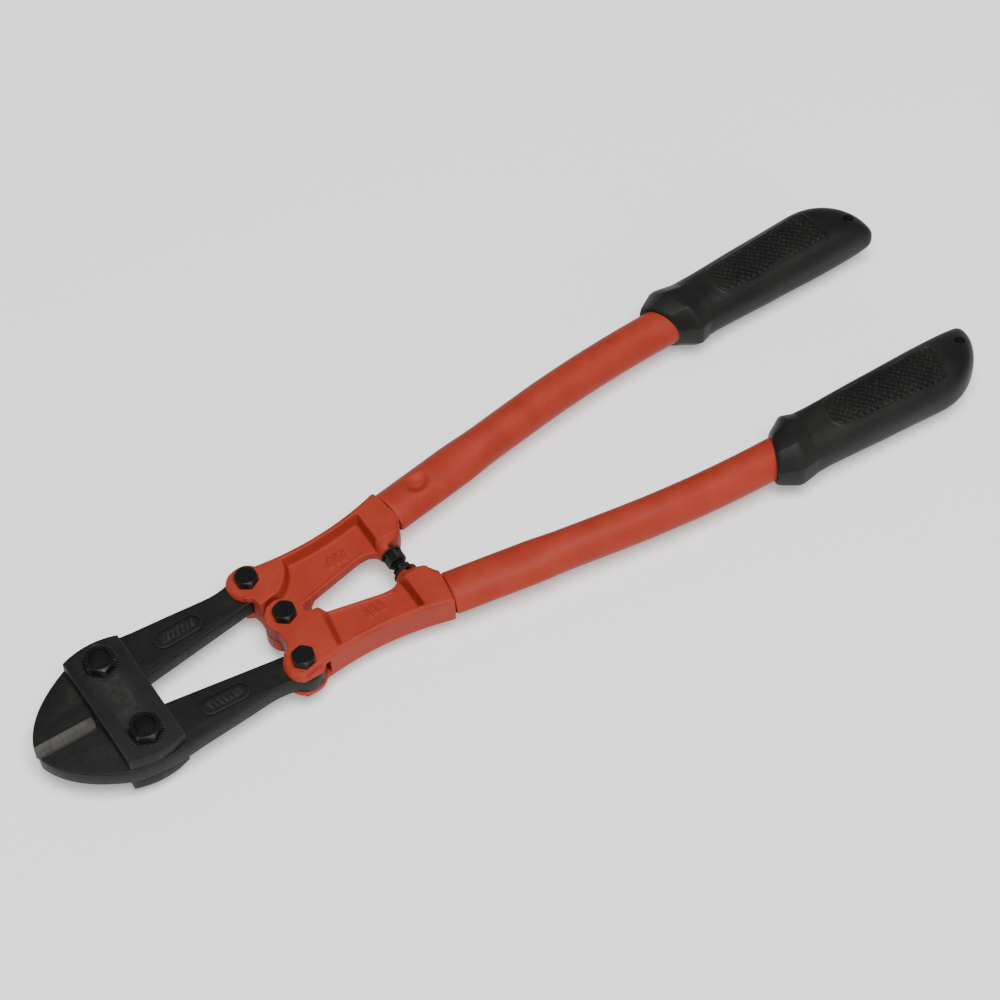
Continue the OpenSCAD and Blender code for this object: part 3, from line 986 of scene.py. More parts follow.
@dataclass
class Jaw:
    """A forged jaw: broad nose with a ground bevel, tapered tail and a round eye."""

    bench: Bench
    half_t: float = 4.25
    edge_y: float = 0.05
    edge_round: float = 0.85
    nose_h: float = 3.2
    half_w: float = 32.0
    eye_r: float = 8.6
    bevel_w: float = 3.3
    bevel_len: float = 27.5
    bevel_corner: float = 2.2
    land: float = 0.15
    strap_bore_r: float = 4.05
    pin_bore_r: float = 3.05
    badge_at: Point = (37.0, 0.4)
    badge_tilt: float = 2.0
    badge_half_l: float = 7.0
    badge_r: float = 4.7
    badge_wall: float = 1.15
    badge_h: float = 0.8
    bar_half: Point = (0.55, 2.0)
    bar_h: float = 0.45
    bar_pitch: float = 2.35
    bar_lean: float = -18.0

    def outline(self) -> list[Point]:
        """The outline of jaw a, its cutting edge along Y = 0."""
        strap_x = self.bench.layout.strap_bolt[0]
        eye = self.bench.layout.ear_bolt
        nose_x = self.bench.layout.box("jaw_a")[0].x
        flank = (strap_x - 13.5, self.half_w - 2)
        belly = (strap_x + 20, self.half_w - 0.9)
        points = [(nose_x, self.edge_y)]
        points += curve((nose_x, self.nose_h), (nose_x + 4.8, 19), flank, 24)
        points += curve(flank, (strap_x, self.half_w + 2), belly, 12)[1:]
        neck = (eye[0] - 20, eye[1] + 4.2)
        shoulder = arc(eye, self.eye_r, 138, -102, 40)
        points += [((belly[0] + neck[0]) / 2, (belly[1] + neck[1]) / 2 + 0.1)]
        points += curve(neck, (eye[0] - 12, eye[1] + 3.6), shoulder[0], 8)
        points += shoulder[1:]
        points += [(strap_x + 14.5, 7.8), (strap_x - 0.5, self.edge_y)]
        return points

    def grinding(self, nose_x: float) -> Form:
        """The wedge that the grinding wheel takes off the upper side."""
        reach = self.bevel_w + OVERSHOOT
        slope = (self.half_t - self.land) / self.bevel_w
        top = self.land + reach * slope
        profile = [(-OVERSHOOT, self.land), (0, self.land), (reach, top), (-OVERSHOOT, top)]
        turn = Matrix(((0, 0, 1, 0), (1, 0, 0, 0), (0, 1, 0, 0), (0, 0, 0, 1)))
        wedge = Form.plate(profile, nose_x - OVERSHOOT, nose_x + self.bevel_len + 4).moved(turn)
        end_x = nose_x + self.bevel_len
        corner = self.bevel_corner
        plan = [(nose_x - 2, -2), (end_x, -2)]
        plan += arc((end_x - corner, self.bevel_w - corner + 0.2), corner, 0, 90, 8)
        plan += [(nose_x - 2, self.bevel_w + 0.2)]
        far = [(x, y) if x < end_x - corner * 1.2 else (x + 1.6, y) for x, y in plan]
        return wedge.keep(Form.tapered(plan, far, -OVERSHOOT, BEYOND))

    def badge(self) -> list[Form]:
        """The raised capsule with a row of plain bars inside it."""

        def capsule(radius: float, low: float, high: float) -> Form:
            """A long round-ended plate."""
            ends = arc((self.badge_half_l, 0), radius, -90, 90, 16)
            ends += arc((-self.badge_half_l, 0), radius, 90, 270, 16)
            return Form.plate(ends, low, high)

        deep = self.half_t - OVERSHOOT
        ring = capsule(self.badge_r, deep, self.half_t + self.badge_h).bevel(0.3, is_rim, 2)
        ring.cut(capsule(self.badge_r - self.badge_wall, self.half_t + 0.02, self.half_t + 3))
        bars = []
        for step in range(-3, 4):
            half_w, half_l = self.bar_half
            bar = Form.box((-half_w, -half_l, deep), (half_w, half_l, self.half_t + self.bar_h))
            bar.bevel(0.3, is_rim, 2)
            bars.append(bar.moved(spin(self.bar_lean)).at(step * self.bar_pitch, 0))
        return [ring, *bars]

    def mark_ground(self, form: Form, nose_x: float) -> None:
        """Gives the faces that the wheel left their own finish."""
        lean = Vector((0, self.half_t - self.land, self.bevel_w)).normalized()
        for face in form.mesh.faces:
            middle = face.calc_center_median()
            near = middle.x < nose_x + self.bevel_len + 1.8 and middle.y < self.bevel_w + 0.3
            tilt = abs(face.normal.y * lean.y) + abs(face.normal.z * lean.z)
            if near and abs(middle.z) < self.half_t - 0.02 and tilt > 0.9 and abs(face.normal.z) > 0.3:
                face.material_index = 1

    def build(self) -> None:
        """Makes both jaws."""
        layout = self.bench.layout
        nose_x = layout.box("jaw_a")[0].x
        form = Form.plate(self.outline(), -self.half_t, self.half_t)
        form.bevel(self.edge_round, is_rim, 3)
        badge = [a + b for a, b in zip(layout.strap_bolt, self.badge_at)]
        for upside, over in ((0, Matrix.Identity(4)), (180, OVER)):
            for part in self.badge():
                form.join(part.moved(spin(upside, "X"), spin(self.badge_tilt)).at(*badge))
            form.cut(self.grinding(nose_x).moved(over))
        for place, radius in ((layout.strap_bolt, self.strap_bore_r), (layout.ear_bolt, self.pin_bore_r)):
            form.cut(Form.disc(radius, -BEYOND, BEYOND, BORE).at(*place))
        self.mark_ground(form, nose_x)
        finishes = self.bench.finishes
        for side in Side:
            self.bench.deliver(form.copy().moved(side.mirrored), f"jaw_{side.value}",
                               f"jaw_{side.value}", "jaw_steel", finishes.jaw_steel,
                               finishes.ground_steel)


# ---- handle line --------------------------------------------------------------------


@dataclass(frozen=True)
class HandleLine:
    """The centre line of tube a, from its seam at the head to the end of the grip."""

    seam: Point = (66.0, 25.1)
    splay: float = 8.8
    straight: float = 80.0
    bend_r: float = 560.0
    grip_splay: float = 1.5

    def bend(self) -> tuple[Point, Point, Point]:
        """Start, middle and end of the bend."""
        first, last = radians(self.splay), radians(self.grip_splay)
        start = (self.seam[0] + self.straight * cos(first), self.seam[1] + self.straight * sin(first))
        middle = (start[0] + self.bend_r * sin(first), start[1] - self.bend_r * cos(first))
        end = (middle[0] - self.bend_r * sin(last), middle[1] + self.bend_r * cos(last))
        return start, middle, end

    def at(self, x: float) -> tuple[Vector, float]:
        """The point of the line at a distance along X, and its angle in radians."""
        start, middle, end = self.bend()
        if x < start[0]:
            angle = radians(self.splay)
            return Vector((x, self.seam[1] + (x - self.seam[0]) * tan(angle), 0)), angle
        if x < end[0]:
            angle = asin((middle[0] - x) / self.bend_r)
            return Vector((x, middle[1] + sqrt(self.bend_r ** 2 - (x - middle[0]) ** 2), 0)), angle
        angle = radians(self.grip_splay)
        return Vector((x, end[1] + (x - end[0]) * tan(angle), 0)), angle


def section(centre: Vector, angle: float, across: float, up: float) -> Vector:
    """A point of a cross section.

    Args:
        centre: Middle of the section.
        angle: Direction of the line through it, in radians.
        across: Distance sideways, in the plane of the tool.
        up: Distance upwards.

    Returns:
        The point.
    """
    return centre + Vector((-sin(angle) * across, cos(angle) * across, up))


# ---- cast heads ---------------------------------------------------------------------


@dataclass
class CastHead:
    """The cast head of a handle: fork ear, lapped boss, webbed arm and tube socket."""

    bench: Bench
    line: HandleLine
    half_t: float = 8.0
    web: float = 2.2
    fork: float = 4.35
    fork_r: float = 9.2
    ear_r: float = 9.4
    ear_round: float = 3.1
    ear_flat: float = 8.3
    boss_r: float = 8.9
    waist: Point = (23.0, 167.9)
    waist_r: float = 140.0
    rim_w: float = 2.6
    rim_draft: float = 1.6
    edge_round: float = 1.7
    stop_x: float = 56.6
    stop_y: float = 6.4
    stop_r: float = 5.4
    socket_y: float = 10.6
    pocket_end: float = 51.4
    ramp_run: float = 3.6
    plateau_r: Point = (19.4, 17.2)
    plateau_at: Point = (-4.0, 28.0)
    mouth: Point = (10.3, 7.7)
    tongue_gap: float = 2.1
    tongue_l: float = 10.0
    fork_end: float = 10.0
    face_gap: float = 0.05
    boss_clear: float = 0.35
    boss_slide: Point = (0.6, 1.95)
    pin_bore_r: float = 3.05
    centre_play: float = 2.0
    screw_l: float = 16.0
    bar_half: Point = (0.75, 2.6)
    bar_h: float = 0.75
    bar_at: Point = (31.5, 15.6)
    bar_pitch: float = 3.4
    bar_lean: float = -12.0
    bead_ends: tuple[Point, Point] = ((12.6, 4.7), (46.0, 11.9))
    bead_half_w: float = 0.55
    bead_h: float = 0.4
    cell: float = 0.42
    passes: int = 9

    def rim_y(self, x: float, radius: float) -> float:
        """Where a circle about the waist's centre crosses a given X."""
        return self.waist[1] - sqrt(radius ** 2 - (x - self.waist[0]) ** 2)

    def plan(self) -> Form:
        """The flat blank of the whole head."""
        ear = self.bench.layout.ear_bolt
        side = Vector((-sin(radians(self.line.splay)), cos(radians(self.line.splay))))
        outer = Vector(self.line.seam) + side * (self.mouth[0] + 0.6)
        inner = Vector(self.line.seam) - side * (self.mouth[0] - 1.6)
        throat = curve((40, 9.8), (49.5, 11.8), (self.pocket_end, self.stop_y + 0.9), 10)
        blank = Form.plate([
            (-6.5, 0), (8.5, 2.9), (11.6, 3.8), *throat, (51.6, self.socket_y), (62.5, self.socket_y),
            tuple(inner), tuple(outer), (40, 40), (0, 40), ear, (ear[0] - 4.3, ear[1] - 5.8), (-7.6, 16),
            (-6.5, 12), (-6.5, 8)], -self.half_t, self.half_t)
        hollow = [(x, self.rim_y(x, self.waist_r)) for x in range(-30, 76, 3)]
        blank.cut(Form.plate(hollow + [(75, 60), (-30, 60)], -BEYOND, BEYOND))
        blank.join(Form.disc(self.ear_r, -self.half_t, self.half_t, ROUND).at(*ear))
        blank.join(Form.disc(self.boss_r, -self.half_t, -self.face_gap, ROUND))
        blank.cut(Form.box((-20, ear[1] + self.ear_flat, -BEYOND), (12, 45, BEYOND)))
        return blank

    def pocket(self) -> Form:
        """The drafted pocket above the web, from the rim to the socket and open inwards."""

        def outline(spread: float) -> list[Point]:
            """The pocket's edge, for a draft share of 0 at its foot and 1 at its edge."""
            radius = self.waist_r + self.rim_w + self.rim_draft * (1 - spread)
            end_x = self.pocket_end + 1.7 * spread
            stations = [-20 + (end_x + 20) * step / 24 for step in range(25)]
            return [(x, self.rim_y(x, radius)) for x in stations] + [(end_x, -5), (-20, -5)]

        past = (BEYOND - self.web) / (self.half_t - self.web)
        return Form.tapered(outline(0), outline(past), self.web, BEYOND)

    def ramp(self) -> Form:
        """What the boss face keeps: the plateau between ear and boss, with a sloped end."""
        foot = [(-25, -20), (17.8, -20), (17.8, 4), (14.6, 24), (13.6, 45), (-25, 45)]
        shift = self.ramp_run * (BEYOND - self.web) / (self.half_t - self.web)
        top = [(x - shift if x > 0 else x, y) for x, y in foot]
        return Form.tapered(foot, top, self.web, BEYOND)

    def ear_plateau(self) -> Form:
        """What the lapped face keeps: a round plateau about the ear."""
        foot_r, top_r = self.plateau_r
        cone = Form.lathe([(0, self.web), (foot_r, self.web), (top_r, BEYOND), (0, BEYOND)], ROUND)
        return cone.at(*self.plateau_at)

    def ear_dome(self) -> Form:
        """The rounded edge around the fork's front, as the metal to take away on top."""
        ear = self.bench.layout.ear_bolt
        seat = self.ear_r - self.ear_round
        low = self.half_t - self.ear_round
        edge = arc((seat, low), self.ear_round, 0, 90, 8)
        foot = low - OVERSHOOT
        dome = Form.lathe([(0, foot), (self.ear_r, foot), *edge, (0, self.half_t)], ROUND)
        fan = [(0.0, 0.0), *arc((0, 0), 14, 38, 232, 24)]
        return Form.plate(fan, low - 0.5, 10).cut(dome).at(*ear)

    def edge_filler(self) -> Form:
        """The corner that the rounded outer edge takes away, all round the waist's circle."""
        inner, outer = self.waist_r - OVERSHOOT, self.waist_r + self.edge_round
        low = self.half_t - self.edge_round
        rounding = arc((outer, low), self.edge_round, 180, 90, 6)
        profile = [(inner, low), *rounding, (outer, BEYOND), (inner, BEYOND)]
        return Form.lathe(profile, 240).at(*self.waist)

    def socket_filler(self) -> Form:
        """What is left of a block around the socket once its rounded sleeve is taken out."""
        angle = radians(self.line.splay)
        centre = Vector((*self.line.seam, 0))
        run = Vector((cos(angle), sin(angle), 0))

        def place(around: float, along: float) -> Vector:
            """Blends a square section into the tube's oval."""
            distance = -14 + 16 * along
            near = smooth(-7, 0.5, distance)
            side, rise = squared(FULL_TURN * around, 0.15 + 0.45 * near)
            half_w = 15.5 + (self.mouth[0] + 0.9 - 15.5) * near
            half_h = 8.6 + (self.mouth[1] + 0.45 - 8.6) * near
            return section(centre + run * distance, angle, half_w * side, half_h * rise)

        sleeve = Form.skin(ROUND, 24, place)
        block = Form.box((-12.5, -17, -12), (1.5, 17, 12))
        return block.moved(spin(self.line.splay)).at(*self.line.seam).cut(sleeve)

    def tongue(self) -> Form:
        """The casting's oval tongue inside the tube."""
        half_w, half_h = self.mouth[0] - self.tongue_gap, self.mouth[1] - self.tongue_gap
        tongue = Form.disc(1, -4, self.tongue_l).moved(Matrix.Diagonal((half_h, half_w, 1, 1)))
        return tongue.moved(spin(90, "Y"), spin(self.line.splay)).at(*self.line.seam)

    def stop_boss(self) -> Form:
        """The nose that holds the stop screw: round at its end, as wide as the socket behind."""

        def place(around: float, along: float) -> Vector:
            """A point of the nose's skin."""
            spread = smooth(0.05, 1.0, along)
            side, rise = squared(FULL_TURN * around, 0.9 - 0.55 * spread)
            x = self.stop_x + 1.8 * spread + (self.stop_r + 1.5 * spread) * side
            reach = self.socket_y + 1.5 - self.stop_y
            return Vector((x, self.stop_y + reach * along, (self.stop_r + 2.5 * spread) * rise))

        return Form.skin(ROUND, 16, place)

    def relief(self) -> list[Form]:
        """Plain raised bars in the middle of the web, and the fine bead along its inner edge."""
        deep = self.web - OVERSHOOT
        half_w, half_l = self.bar_half
        bars = []
        for step in range(3):
            bar = Form.box((-half_w, -half_l, deep), (half_w, half_l, self.web + self.bar_h))
            bar.bevel(0.3, is_rim, 1).moved(spin(self.bar_lean))
            bars.append(bar.at(self.bar_at[0] + self.bar_pitch * step, self.bar_at[1]))
        start, end = (Vector(point) for point in self.bead_ends)
        run = end - start
        bead = Form.box((0, -self.bead_half_w, deep), (run.length, self.bead_half_w, self.web + self.bead_h))
        bead.moved(spin(degrees(atan2(run.y, run.x)))).at(*start)
        return [*bars, bead]

    def casting(self) -> Form:
        """The whole head of side a, before its bores."""
        ear_x, ear_y = self.bench.layout.ear_bolt
        form = self.plan()
        form.cut(self.pocket().cut(self.ear_plateau()))
        form.cut(self.pocket().cut(self.ramp()).moved(OVER))
        form.join(self.stop_boss())
        for face in (Matrix.Identity(4), OVER):
            form.cut(self.ear_dome().moved(face), self.edge_filler().moved(face))
            form.join(*(part.moved(face) for part in self.relief()))
        form.cut(self.socket_filler())
        form.join(self.tongue())
        for step in (0.0, 0.5, 1.0):
            boss = Form.disc(self.boss_r + self.boss_clear, -self.face_gap, BEYOND, ROUND)
            form.cut(boss.at(self.boss_slide[0] * step, self.boss_slide[1] * step))
        form.cut(Form.box((-30, -12, -self.face_gap), (2, 6, BEYOND)))
        form.cut(Form.disc(self.fork_r, -self.fork, self.fork, ROUND).at(ear_x, ear_y))
        far_y = ear_y + 20
        form.cut(Form.box((ear_x - 20, ear_y - self.fork_r, -self.fork), (ear_x, far_y, self.fork)))
        form.cut(Form.box((ear_x - 1, ear_y, -self.fork), (ear_x + self.fork_end, far_y, self.fork)))
        return form.cast(self.cell, self.passes)

    def build(self) -> None:
        """Makes both heads from the one casting."""
        casting = self.casting()
        pin = Form.disc(self.pin_bore_r, -BEYOND, BEYOND, BORE)
        screw = Form.disc(self.pin_bore_r, 0, self.screw_l, 32).moved(spin(-90, "X")).at(self.stop_x, 0)
        casting.cut(pin.at(*self.bench.layout.ear_bolt), screw)
        for side, play in ((Side.A, self.centre_play), (Side.B, 0.0)):
            form = casting.copy().cut(Form.disc(self.pin_bore_r + play, -BEYOND, BEYOND, BORE))
            self.bench.deliver(form.moved(side.turned), f"head_{side.value}", f"handle_{side.value}",
                               "red_enamel", self.bench.finishes.cast_enamel)


# ---- tubes --------------------------------------------------------------------------


@dataclass
class Tube:
    """A steel handle tube, flattened over the head's tongue and crimped onto it."""

    bench: Bench
    line: HandleLine
    radius: float = 9.15
    wall: float = 1.8
    mouth: Point = (10.3, 7.7)
    flat_end: float = 104.0
    round_x: float = 122.0
    end_x: float = 320.0
    crimp: Point = (84.0, 28.3)
    crimp_half: Point = (7.4, 5.6)
    crimp_depth: float = 2.6
    crimp_floor: float = 0.2
    crimp_lean: float = 0.35
    crimp_reach: float = 12.0
    seam_gap: float = 0.6
    lip: float = 0.7
    along: int = 520

    def depth(self, place: Vector) -> float:
        """How far the crimp pushes the upper face down at a point."""
        run = radians(self.line.splay)
        step = place.xy - Vector(self.crimp)
        along = (step.x * cos(run) + step.y * sin(run)) / self.crimp_half[0]
        across = (step.y * cos(run) - step.x * sin(run)) / self.crimp_half[1]
        distance = sqrt(along ** 2 + across ** 2)
        steeper = 1 + self.crimp_lean * max(0.0, -along - across)
        return self.crimp_depth * (1 - smooth(self.crimp_floor, 1.0, distance)) * steeper

    def place(self, around: float, along: float) -> Vector:
        """A point of the wall: out along the outside, back along the inside.

        Args:
            around: Share of a turn.
            along: Share of the way out and back.

        Returns:
            The point.
        """
        outside = along < 0.5
        share = along * 2 if outside else (1 - along) * 2
        start = self.line.seam[0] + self.seam_gap
        x = start + (self.end_x - start) * share
        centre, angle = self.line.at(x)
        oval = 1 - smooth(self.flat_end, self.round_x, x)
        half_w = self.radius + (self.mouth[0] - self.radius) * oval
        half_h = self.radius + (self.mouth[1] - self.radius) * oval
        rounding = self.lip * (1 - smooth(0, self.lip, x - start))
        shrink = rounding if outside else self.wall
        turn = FULL_TURN * around
        point = section(centre, angle, (half_w - shrink) * cos(turn), (half_h - shrink) * sin(turn))
        if sin(turn) > 0 and abs(x - self.crimp[0]) < self.crimp_reach:
            point.z -= self.depth(point)
        return point

    def build(self, side: Side) -> None:
        """Makes one tube."""
        form = Form.skin(ROUND, self.along, self.place).moved(side.turned)
        self.bench.deliver(form, f"tube_{side.value}", f"handle_{side.value}", "red_enamel",
                           self.bench.finishes.tube_enamel)


# ---- grips --------------------------------------------------------------------------


@dataclass
class Grip:
    """A moulded grip: slanted flared mouth, squarish body and a knurled panel on each face."""

    bench: Bench
    line: HandleLine
    start_x: float = 223.4
    end_x: float = 334.0
    bore_r: float = 9.25
    bore_end_x: float = 320.5
    stations: tuple[tuple[float, ...], ...] = (
        (0.0, 11.4, 11.0, 23.0, 1.0), (0.01, 12.3, 11.9, 22.0, 1.0), (0.072, 15.8, 14.2, 15.5, 0.95),
        (0.09, 16.0, 14.3, 14.0, 0.93), (0.15, 14.2, 12.6, 8.0, 0.88), (0.21, 13.9, 12.0, 3.0, 0.82),
        (0.5, 14.7, 12.0, 1.5, 0.75), (0.74, 15.3, 12.0, 1.5, 0.72), (1.01, 15.3, 12.0, 1.5, 0.75))
    facet_end: float = 0.2
    facet_share: float = 0.55
    panel_x: Point = (252.6, 311.0)
    panel_low: float = -7.6
    panel_high: Point = (7.4, 10.6)
    panel_corner: float = 5.0
    knurl: Point = (3.0, 3.2)
    knurl_h: float = 0.95
    panel_sink: float = 0.7
    sweep_start: float = 0.74
    sweep_bow: Point = (2.05, 0.56)
    corner_start: float = 0.962
    corner_r: float = 4.1
    fade_start: float = 0.77
    fade_bow: Point = (2.5, 0.42)
    hang_at: tuple[float, float, float] = (325.8, 42.5, 9.5)
    hang_half: Point = (3.0, 2.1)
    hang_lean: float = 28.0
    dense: Point = (0.22, 0.84)
    dense_rows: Point = (0.15, 0.85)
    around: int = 220
    along: int = 320

    def sizes(self, share: float) -> list[float]:
        """Half width, half height, slant and squareness at a share of the length."""
        rows = self.stations
        upper = next(i for i, row in enumerate(rows) if row[0] > share)
        low, high = rows[upper - 1], rows[upper]
        part = (share - low[0]) / (high[0] - low[0])
        if share > 0.145:
            part = smooth(0, 1, part) * 0.5 + part * 0.5
        return [a + (b - a) * part for a, b in zip(low[1:], high[1:])]

    def outer_edge(self, share: float, half_w: float) -> float:
        """The outer side, which sweeps round to the inner corner at the end."""
        if share < self.sweep_start:
            return half_w + 0.5
        swept = (share - self.sweep_start) / (1 - self.sweep_start)
        return -10.7 + (half_w + 11.2) * max(0.0, 1 - swept ** self.sweep_bow[0]) ** self.sweep_bow[1]

    def inner_edge(self, share: float, half_w: float) -> float:
        """The inner side, straight up to its round corner."""
        corner = max(0.0, (share - self.corner_start) / (1 - self.corner_start))
        return -half_w + 0.5 + self.corner_r * (1 - sqrt(max(0.0, 1 - corner ** 2)))

    def height(self, share: float, half_h: float) -> float:
        """The half height, which rounds off over the last fifth."""
        fade = max(0.0, (share - self.fade_start) / (1 - self.fade_start))
        return half_h * (1 - min(1.0, fade) ** self.fade_bow[0]) ** self.fade_bow[1]

    def inside_panel(self, x: float, across: float) -> float:
        """How deep inside the knurled panel a point lies, in millimetres, less than 0 outside."""
        share = (x - self.panel_x[0]) / (self.panel_x[1] - self.panel_x[0])
        high = self.panel_high[0] + (self.panel_high[1] - self.panel_high[0]) * share
        slant = 0.16 * (across - self.panel_low)
        middle_x = (self.panel_x[0] + self.panel_x[1] - slant) / 2
        half_x = (self.panel_x[1] - slant - self.panel_x[0]) / 2
        middle_y, half_y = (high + self.panel_low) / 2, (high - self.panel_low) / 2
        corner = self.panel_corner if x < middle_x else 2.0
        out_x = abs(x - middle_x) - half_x + corner
        out_y = abs(across - middle_y) - half_y + corner
        return corner - sqrt(max(out_x, 0) ** 2 + max(out_y, 0) ** 2) - min(max(out_x, out_y), 0)

    def relief(self, x: float, across: float) -> float:
        """Height of the panel's border and knurling over the plain grip."""
        depth = self.inside_panel(x, across)
        border = 0.35 * max(0.0, 1 - abs(depth + 0.7) / 0.7)
        if x > self.panel_x[1] - 4:
            border *= 2.2
        if depth <= 0:
            return border
        first = abs(((x / self.knurl[0] + across / self.knurl[1]) % 1.0) * 2 - 1)
        second = abs(((x / self.knurl[0] - across / self.knurl[1]) % 1.0) * 2 - 1)
        lattice = max(smooth(0.4, 0.8, first), smooth(0.4, 0.8, second))
        return (self.knurl_h * lattice - self.panel_sink) * smooth(0, 0.6, depth)

    def place(self, around: float, along: float) -> Vector:
        """A point of the outer skin.

        Args:
            around: Share of a turn.
            along: Share of the way along.

        Returns:
            The point.
        """
        start, end = self.dense
        first, last = self.dense_rows
        if along < first:
            share = start * along / first
        elif along < last:
            share = start + (end - start) * (along - first) / (last - first)
        else:
            share = end + (1 - end) * sin((along - last) / (1 - last) * pi / 2)
        share = min(share, 0.99995)
        x = self.start_x + (self.end_x - self.start_x) * share
        centre, _ = self.line.at(x)
        half_w, half_h, slant, power = self.sizes(share)
        outer, inner = self.outer_edge(share, half_w), self.inner_edge(share, half_w)
        half_h = self.height(share, half_h)
        turn = FULL_TURN * around
        side, rise = cos(turn), sin(turn)
        reach = (abs(side) ** (2 / power) + abs(rise) ** (2 / power)) ** (-power / 2)
        facet = self.facet_share * (1 - smooth(self.facet_end - 0.08, self.facet_end, share))
        corner = (turn + pi / 8) % (pi / 4) - pi / 8
        reach *= 1 + facet * (cos(pi / 8) / cos(corner) - 0.96)
        across = (outer + inner) / 2 + (outer - inner) / 2 * reach * side
        up = half_h * reach * rise
        flat = smooth(0.45, 0.7, abs(rise))
        if flat > 0 and start < share < end:
            up += (1 if rise > 0 else -1) * flat * self.relief(x, across)
        return section(centre, radians(slant), across, up)

    def bore(self) -> Form:
        """The round hole for the tube, closed at the tube's end."""

        def place(around: float, along: float) -> Vector:
            """A point of the bore's wall."""
            start = self.start_x - BEYOND
            x = start + (self.bore_end_x - start) * along
            centre, angle = self.line.at(x)
            turn = FULL_TURN * around
            return section(centre, angle, self.bore_r * cos(turn), self.bore_r * sin(turn))

        return Form.skin(64, 40, place)

    def build(self) -> None:
        """Makes both grips."""
        hole = Form.disc(1.0, -3, 5, 32).moved(Matrix.Diagonal((*self.hang_half, 1, 1)))
        hole.moved(spin(self.hang_lean, "Y")).at(*self.hang_at)
        form = Form.skin(self.around, self.along, self.place).cut(self.bore(), hole)
        for side in Side:
            self.bench.deliver(form.copy().moved(side.mirrored), f"grip_{side.value}",
                               f"handle_{side.value}", "grip_vinyl", self.bench.finishes.vinyl)


# ---- stop screws --------------------------------------------------------------------


@dataclass
class StopScrews:
    """The two screws that meet between the handles and set how far the jaws close."""

    bench: Bench
    x: float = 56.6
    boss_y: float = 6.4
    gap: float = 0.1
    across: float = 8.0
    nut_h: float = 3.9
    neck_from: float = 3.0
    shank_r: float = 3.0
    shank_l: float = 8.0

    def deliver(self, form: Form, node: str, side: Side) -> None:
        """Turns a form from +Z to point at the tool's middle, from its stop boss, and hands it over."""
        form.moved(spin(90 * side.sign, "X")).at(self.x, side.sign * self.boss_y)
        self.bench.fastener(form, node, f"handle_{side.value}")

    def build(self) -> None:
        """Makes the headed screw, the set screw and its nut."""
        reach = self.boss_y - self.gap
        collar = Form.lathe([(0, 0), (4.7, 0), (4.9, 0.2), (4.9, 0.7), (4.6, 0.9), (0, 0.9)])
        headed = HexPart(self.across, reach, collar_h=0.9, chamfer=0.8).form().moved(spin(18))
        headed.join(collar, Form.disc(self.shank_r, -self.shank_l, 0.5, BORE))
        self.deliver(headed, "stop_screw_a", Side.A)
        neck = threaded(self.shank_r + 0.1, self.neck_from, reach, 0.9)
        neck.moved(OVER).at(0, 0, self.neck_from + reach)
        screw = Form.disc(self.shank_r - 0.1, -self.shank_l, self.neck_from + 0.4, BORE).join(neck)
        self.deliver(screw, "stop_screw_b", Side.B)
        flange = Form.lathe([(0, 0), (5.4, 0), (5.6, 0.25), (5.6, 0.8), (5.3, 1.0), (0, 1.0)])
        nut = HexPart(self.across, self.nut_h, collar_h=0.6, chamfer=0.7).form()
        nut.moved(spin(8)).join(flange)
        nut.cut(Form.disc(self.shank_r + 0.15, -OVERSHOOT, 5, BORE))
        self.deliver(nut, "stop_nut_b", Side.B)


# ---- studio -------------------------------------------------------------------------


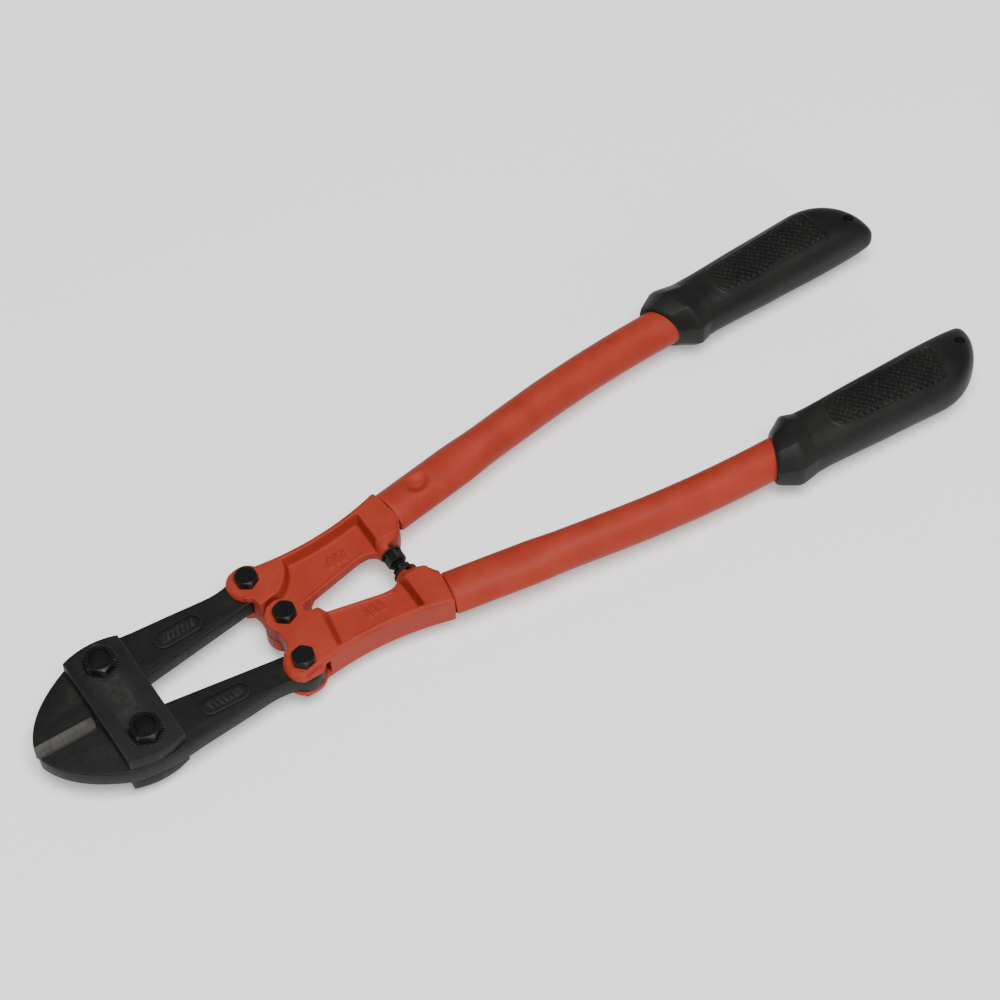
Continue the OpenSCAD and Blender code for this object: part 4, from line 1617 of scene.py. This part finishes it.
@dataclass
class Studio:
    """The pale floor, the soft lights and the camera."""

    layout: Layout
    aim: tuple[float, float, float] = (111.38, 4.13, 0.0)
    distance: float = 1533.9
    heading: float = 59.915
    tilt: float = 54.992
    roll: float = -2.991
    lens: float = 126.0
    sensor: float = 36.0
    floor_half: float = 4.0
    floor_tone: Colour = (0.84, 0.84, 0.84)
    floor_glow: float = 0.35
    room_light: float = 0.2

    def camera(self) -> None:
        """Stands the camera where the tool is looked at."""
        heading, tilt, roll = radians(self.heading), radians(self.tilt), radians(self.roll)
        forward = Vector((cos(tilt) * cos(heading), cos(tilt) * sin(heading), -sin(tilt)))
        level = forward.cross(Vector((0, 0, 1))).normalized()
        right = level * cos(roll) + level.cross(forward) * sin(roll)
        above = right.cross(forward)
        place = Matrix((right, above, -forward)).transposed().to_4x4()
        target = self.layout.origin + Vector(self.aim) * MM
        place.translation = target - forward * self.distance * MM
        data = bpy.data.cameras.new("camera")
        data.lens = self.lens
        data.sensor_width = self.sensor
        camera = bpy.data.objects.new("camera", data)
        camera.matrix_world = place
        bpy.context.scene.collection.objects.link(camera)
        bpy.context.scene.camera = camera

    def floor(self) -> None:
        """Lays a plain pale floor under the tool."""
        mesh = bmesh.new()
        bmesh.ops.create_grid(mesh, x_segments=1, y_segments=1, size=self.floor_half)
        data = bpy.data.meshes.new("floor")
        mesh.to_mesh(data)
        shade = Shade("floor_paper")
        shade.set(Base_Color=(*self.floor_tone, 1), Roughness=0.9, Specular_IOR_Level=0.0,
                  Emission_Color=(1, 1, 1, 1), Emission_Strength=self.floor_glow)
        data.materials.append(shade.material)
        floor = bpy.data.objects.new("floor", data)
        bpy.context.scene.collection.objects.link(floor)

    def light(self, name: str, place: Sequence[float], size: float, power: float) -> None:
        """Hangs a square soft light that faces the tool.

        Args:
            name: Its name.
            place: Where it hangs, in metres.
            size: Its side.
            power: Its power in watts.
        """
        data = bpy.data.lights.new(name, "AREA")
        data.shape = "SQUARE"
        data.size = size
        data.energy = power
        lamp = bpy.data.objects.new(name, data)
        lamp.location = place
        lamp.rotation_mode = "QUATERNION"
        lamp.rotation_quaternion = (-Vector(place)).to_track_quat("-Z", "Y")
        bpy.context.scene.collection.objects.link(lamp)

    def world(self) -> None:
        """Fills the room with even white light."""
        world = bpy.data.worlds.new("studio")
        world.use_nodes = True
        background = world.node_tree.nodes["Background"]
        background.inputs["Color"].default_value = (1, 1, 1, 1)
        background.inputs["Strength"].default_value = self.room_light
        bpy.context.scene.world = world

    def build(self) -> None:
        """Sets the whole studio up."""
        self.camera()
        self.floor()
        self.world()
        self.light("key_light", (-0.2, -0.75, 2.4), 1.2, 96)
        self.light("front_light", (0.5, -2.3, 0.9), 0.8, 8)


def main() -> None:
    """Builds every sub-assembly."""
    layout = Layout.read()
    LOG.info("centre bolt at %s, strap bolt %s, ear bolt %s", layout.origin, layout.strap_bolt,
             layout.ear_bolt)
    Studio(layout).build()
    bench = Bench(layout, Finishes())
    line = HandleLine()
    for node in ("strap_top", "strap_bottom"):
        Strap(bench).build(node)
    Fasteners(bench).build()
    Jaw(bench).build()
    CastHead(bench, line).build()
    for side in Side:
        Tube(bench, line).build(side)
    Grip(bench, line).build()
    StopScrews(bench).build()


if __name__ == "__main__":
    main()
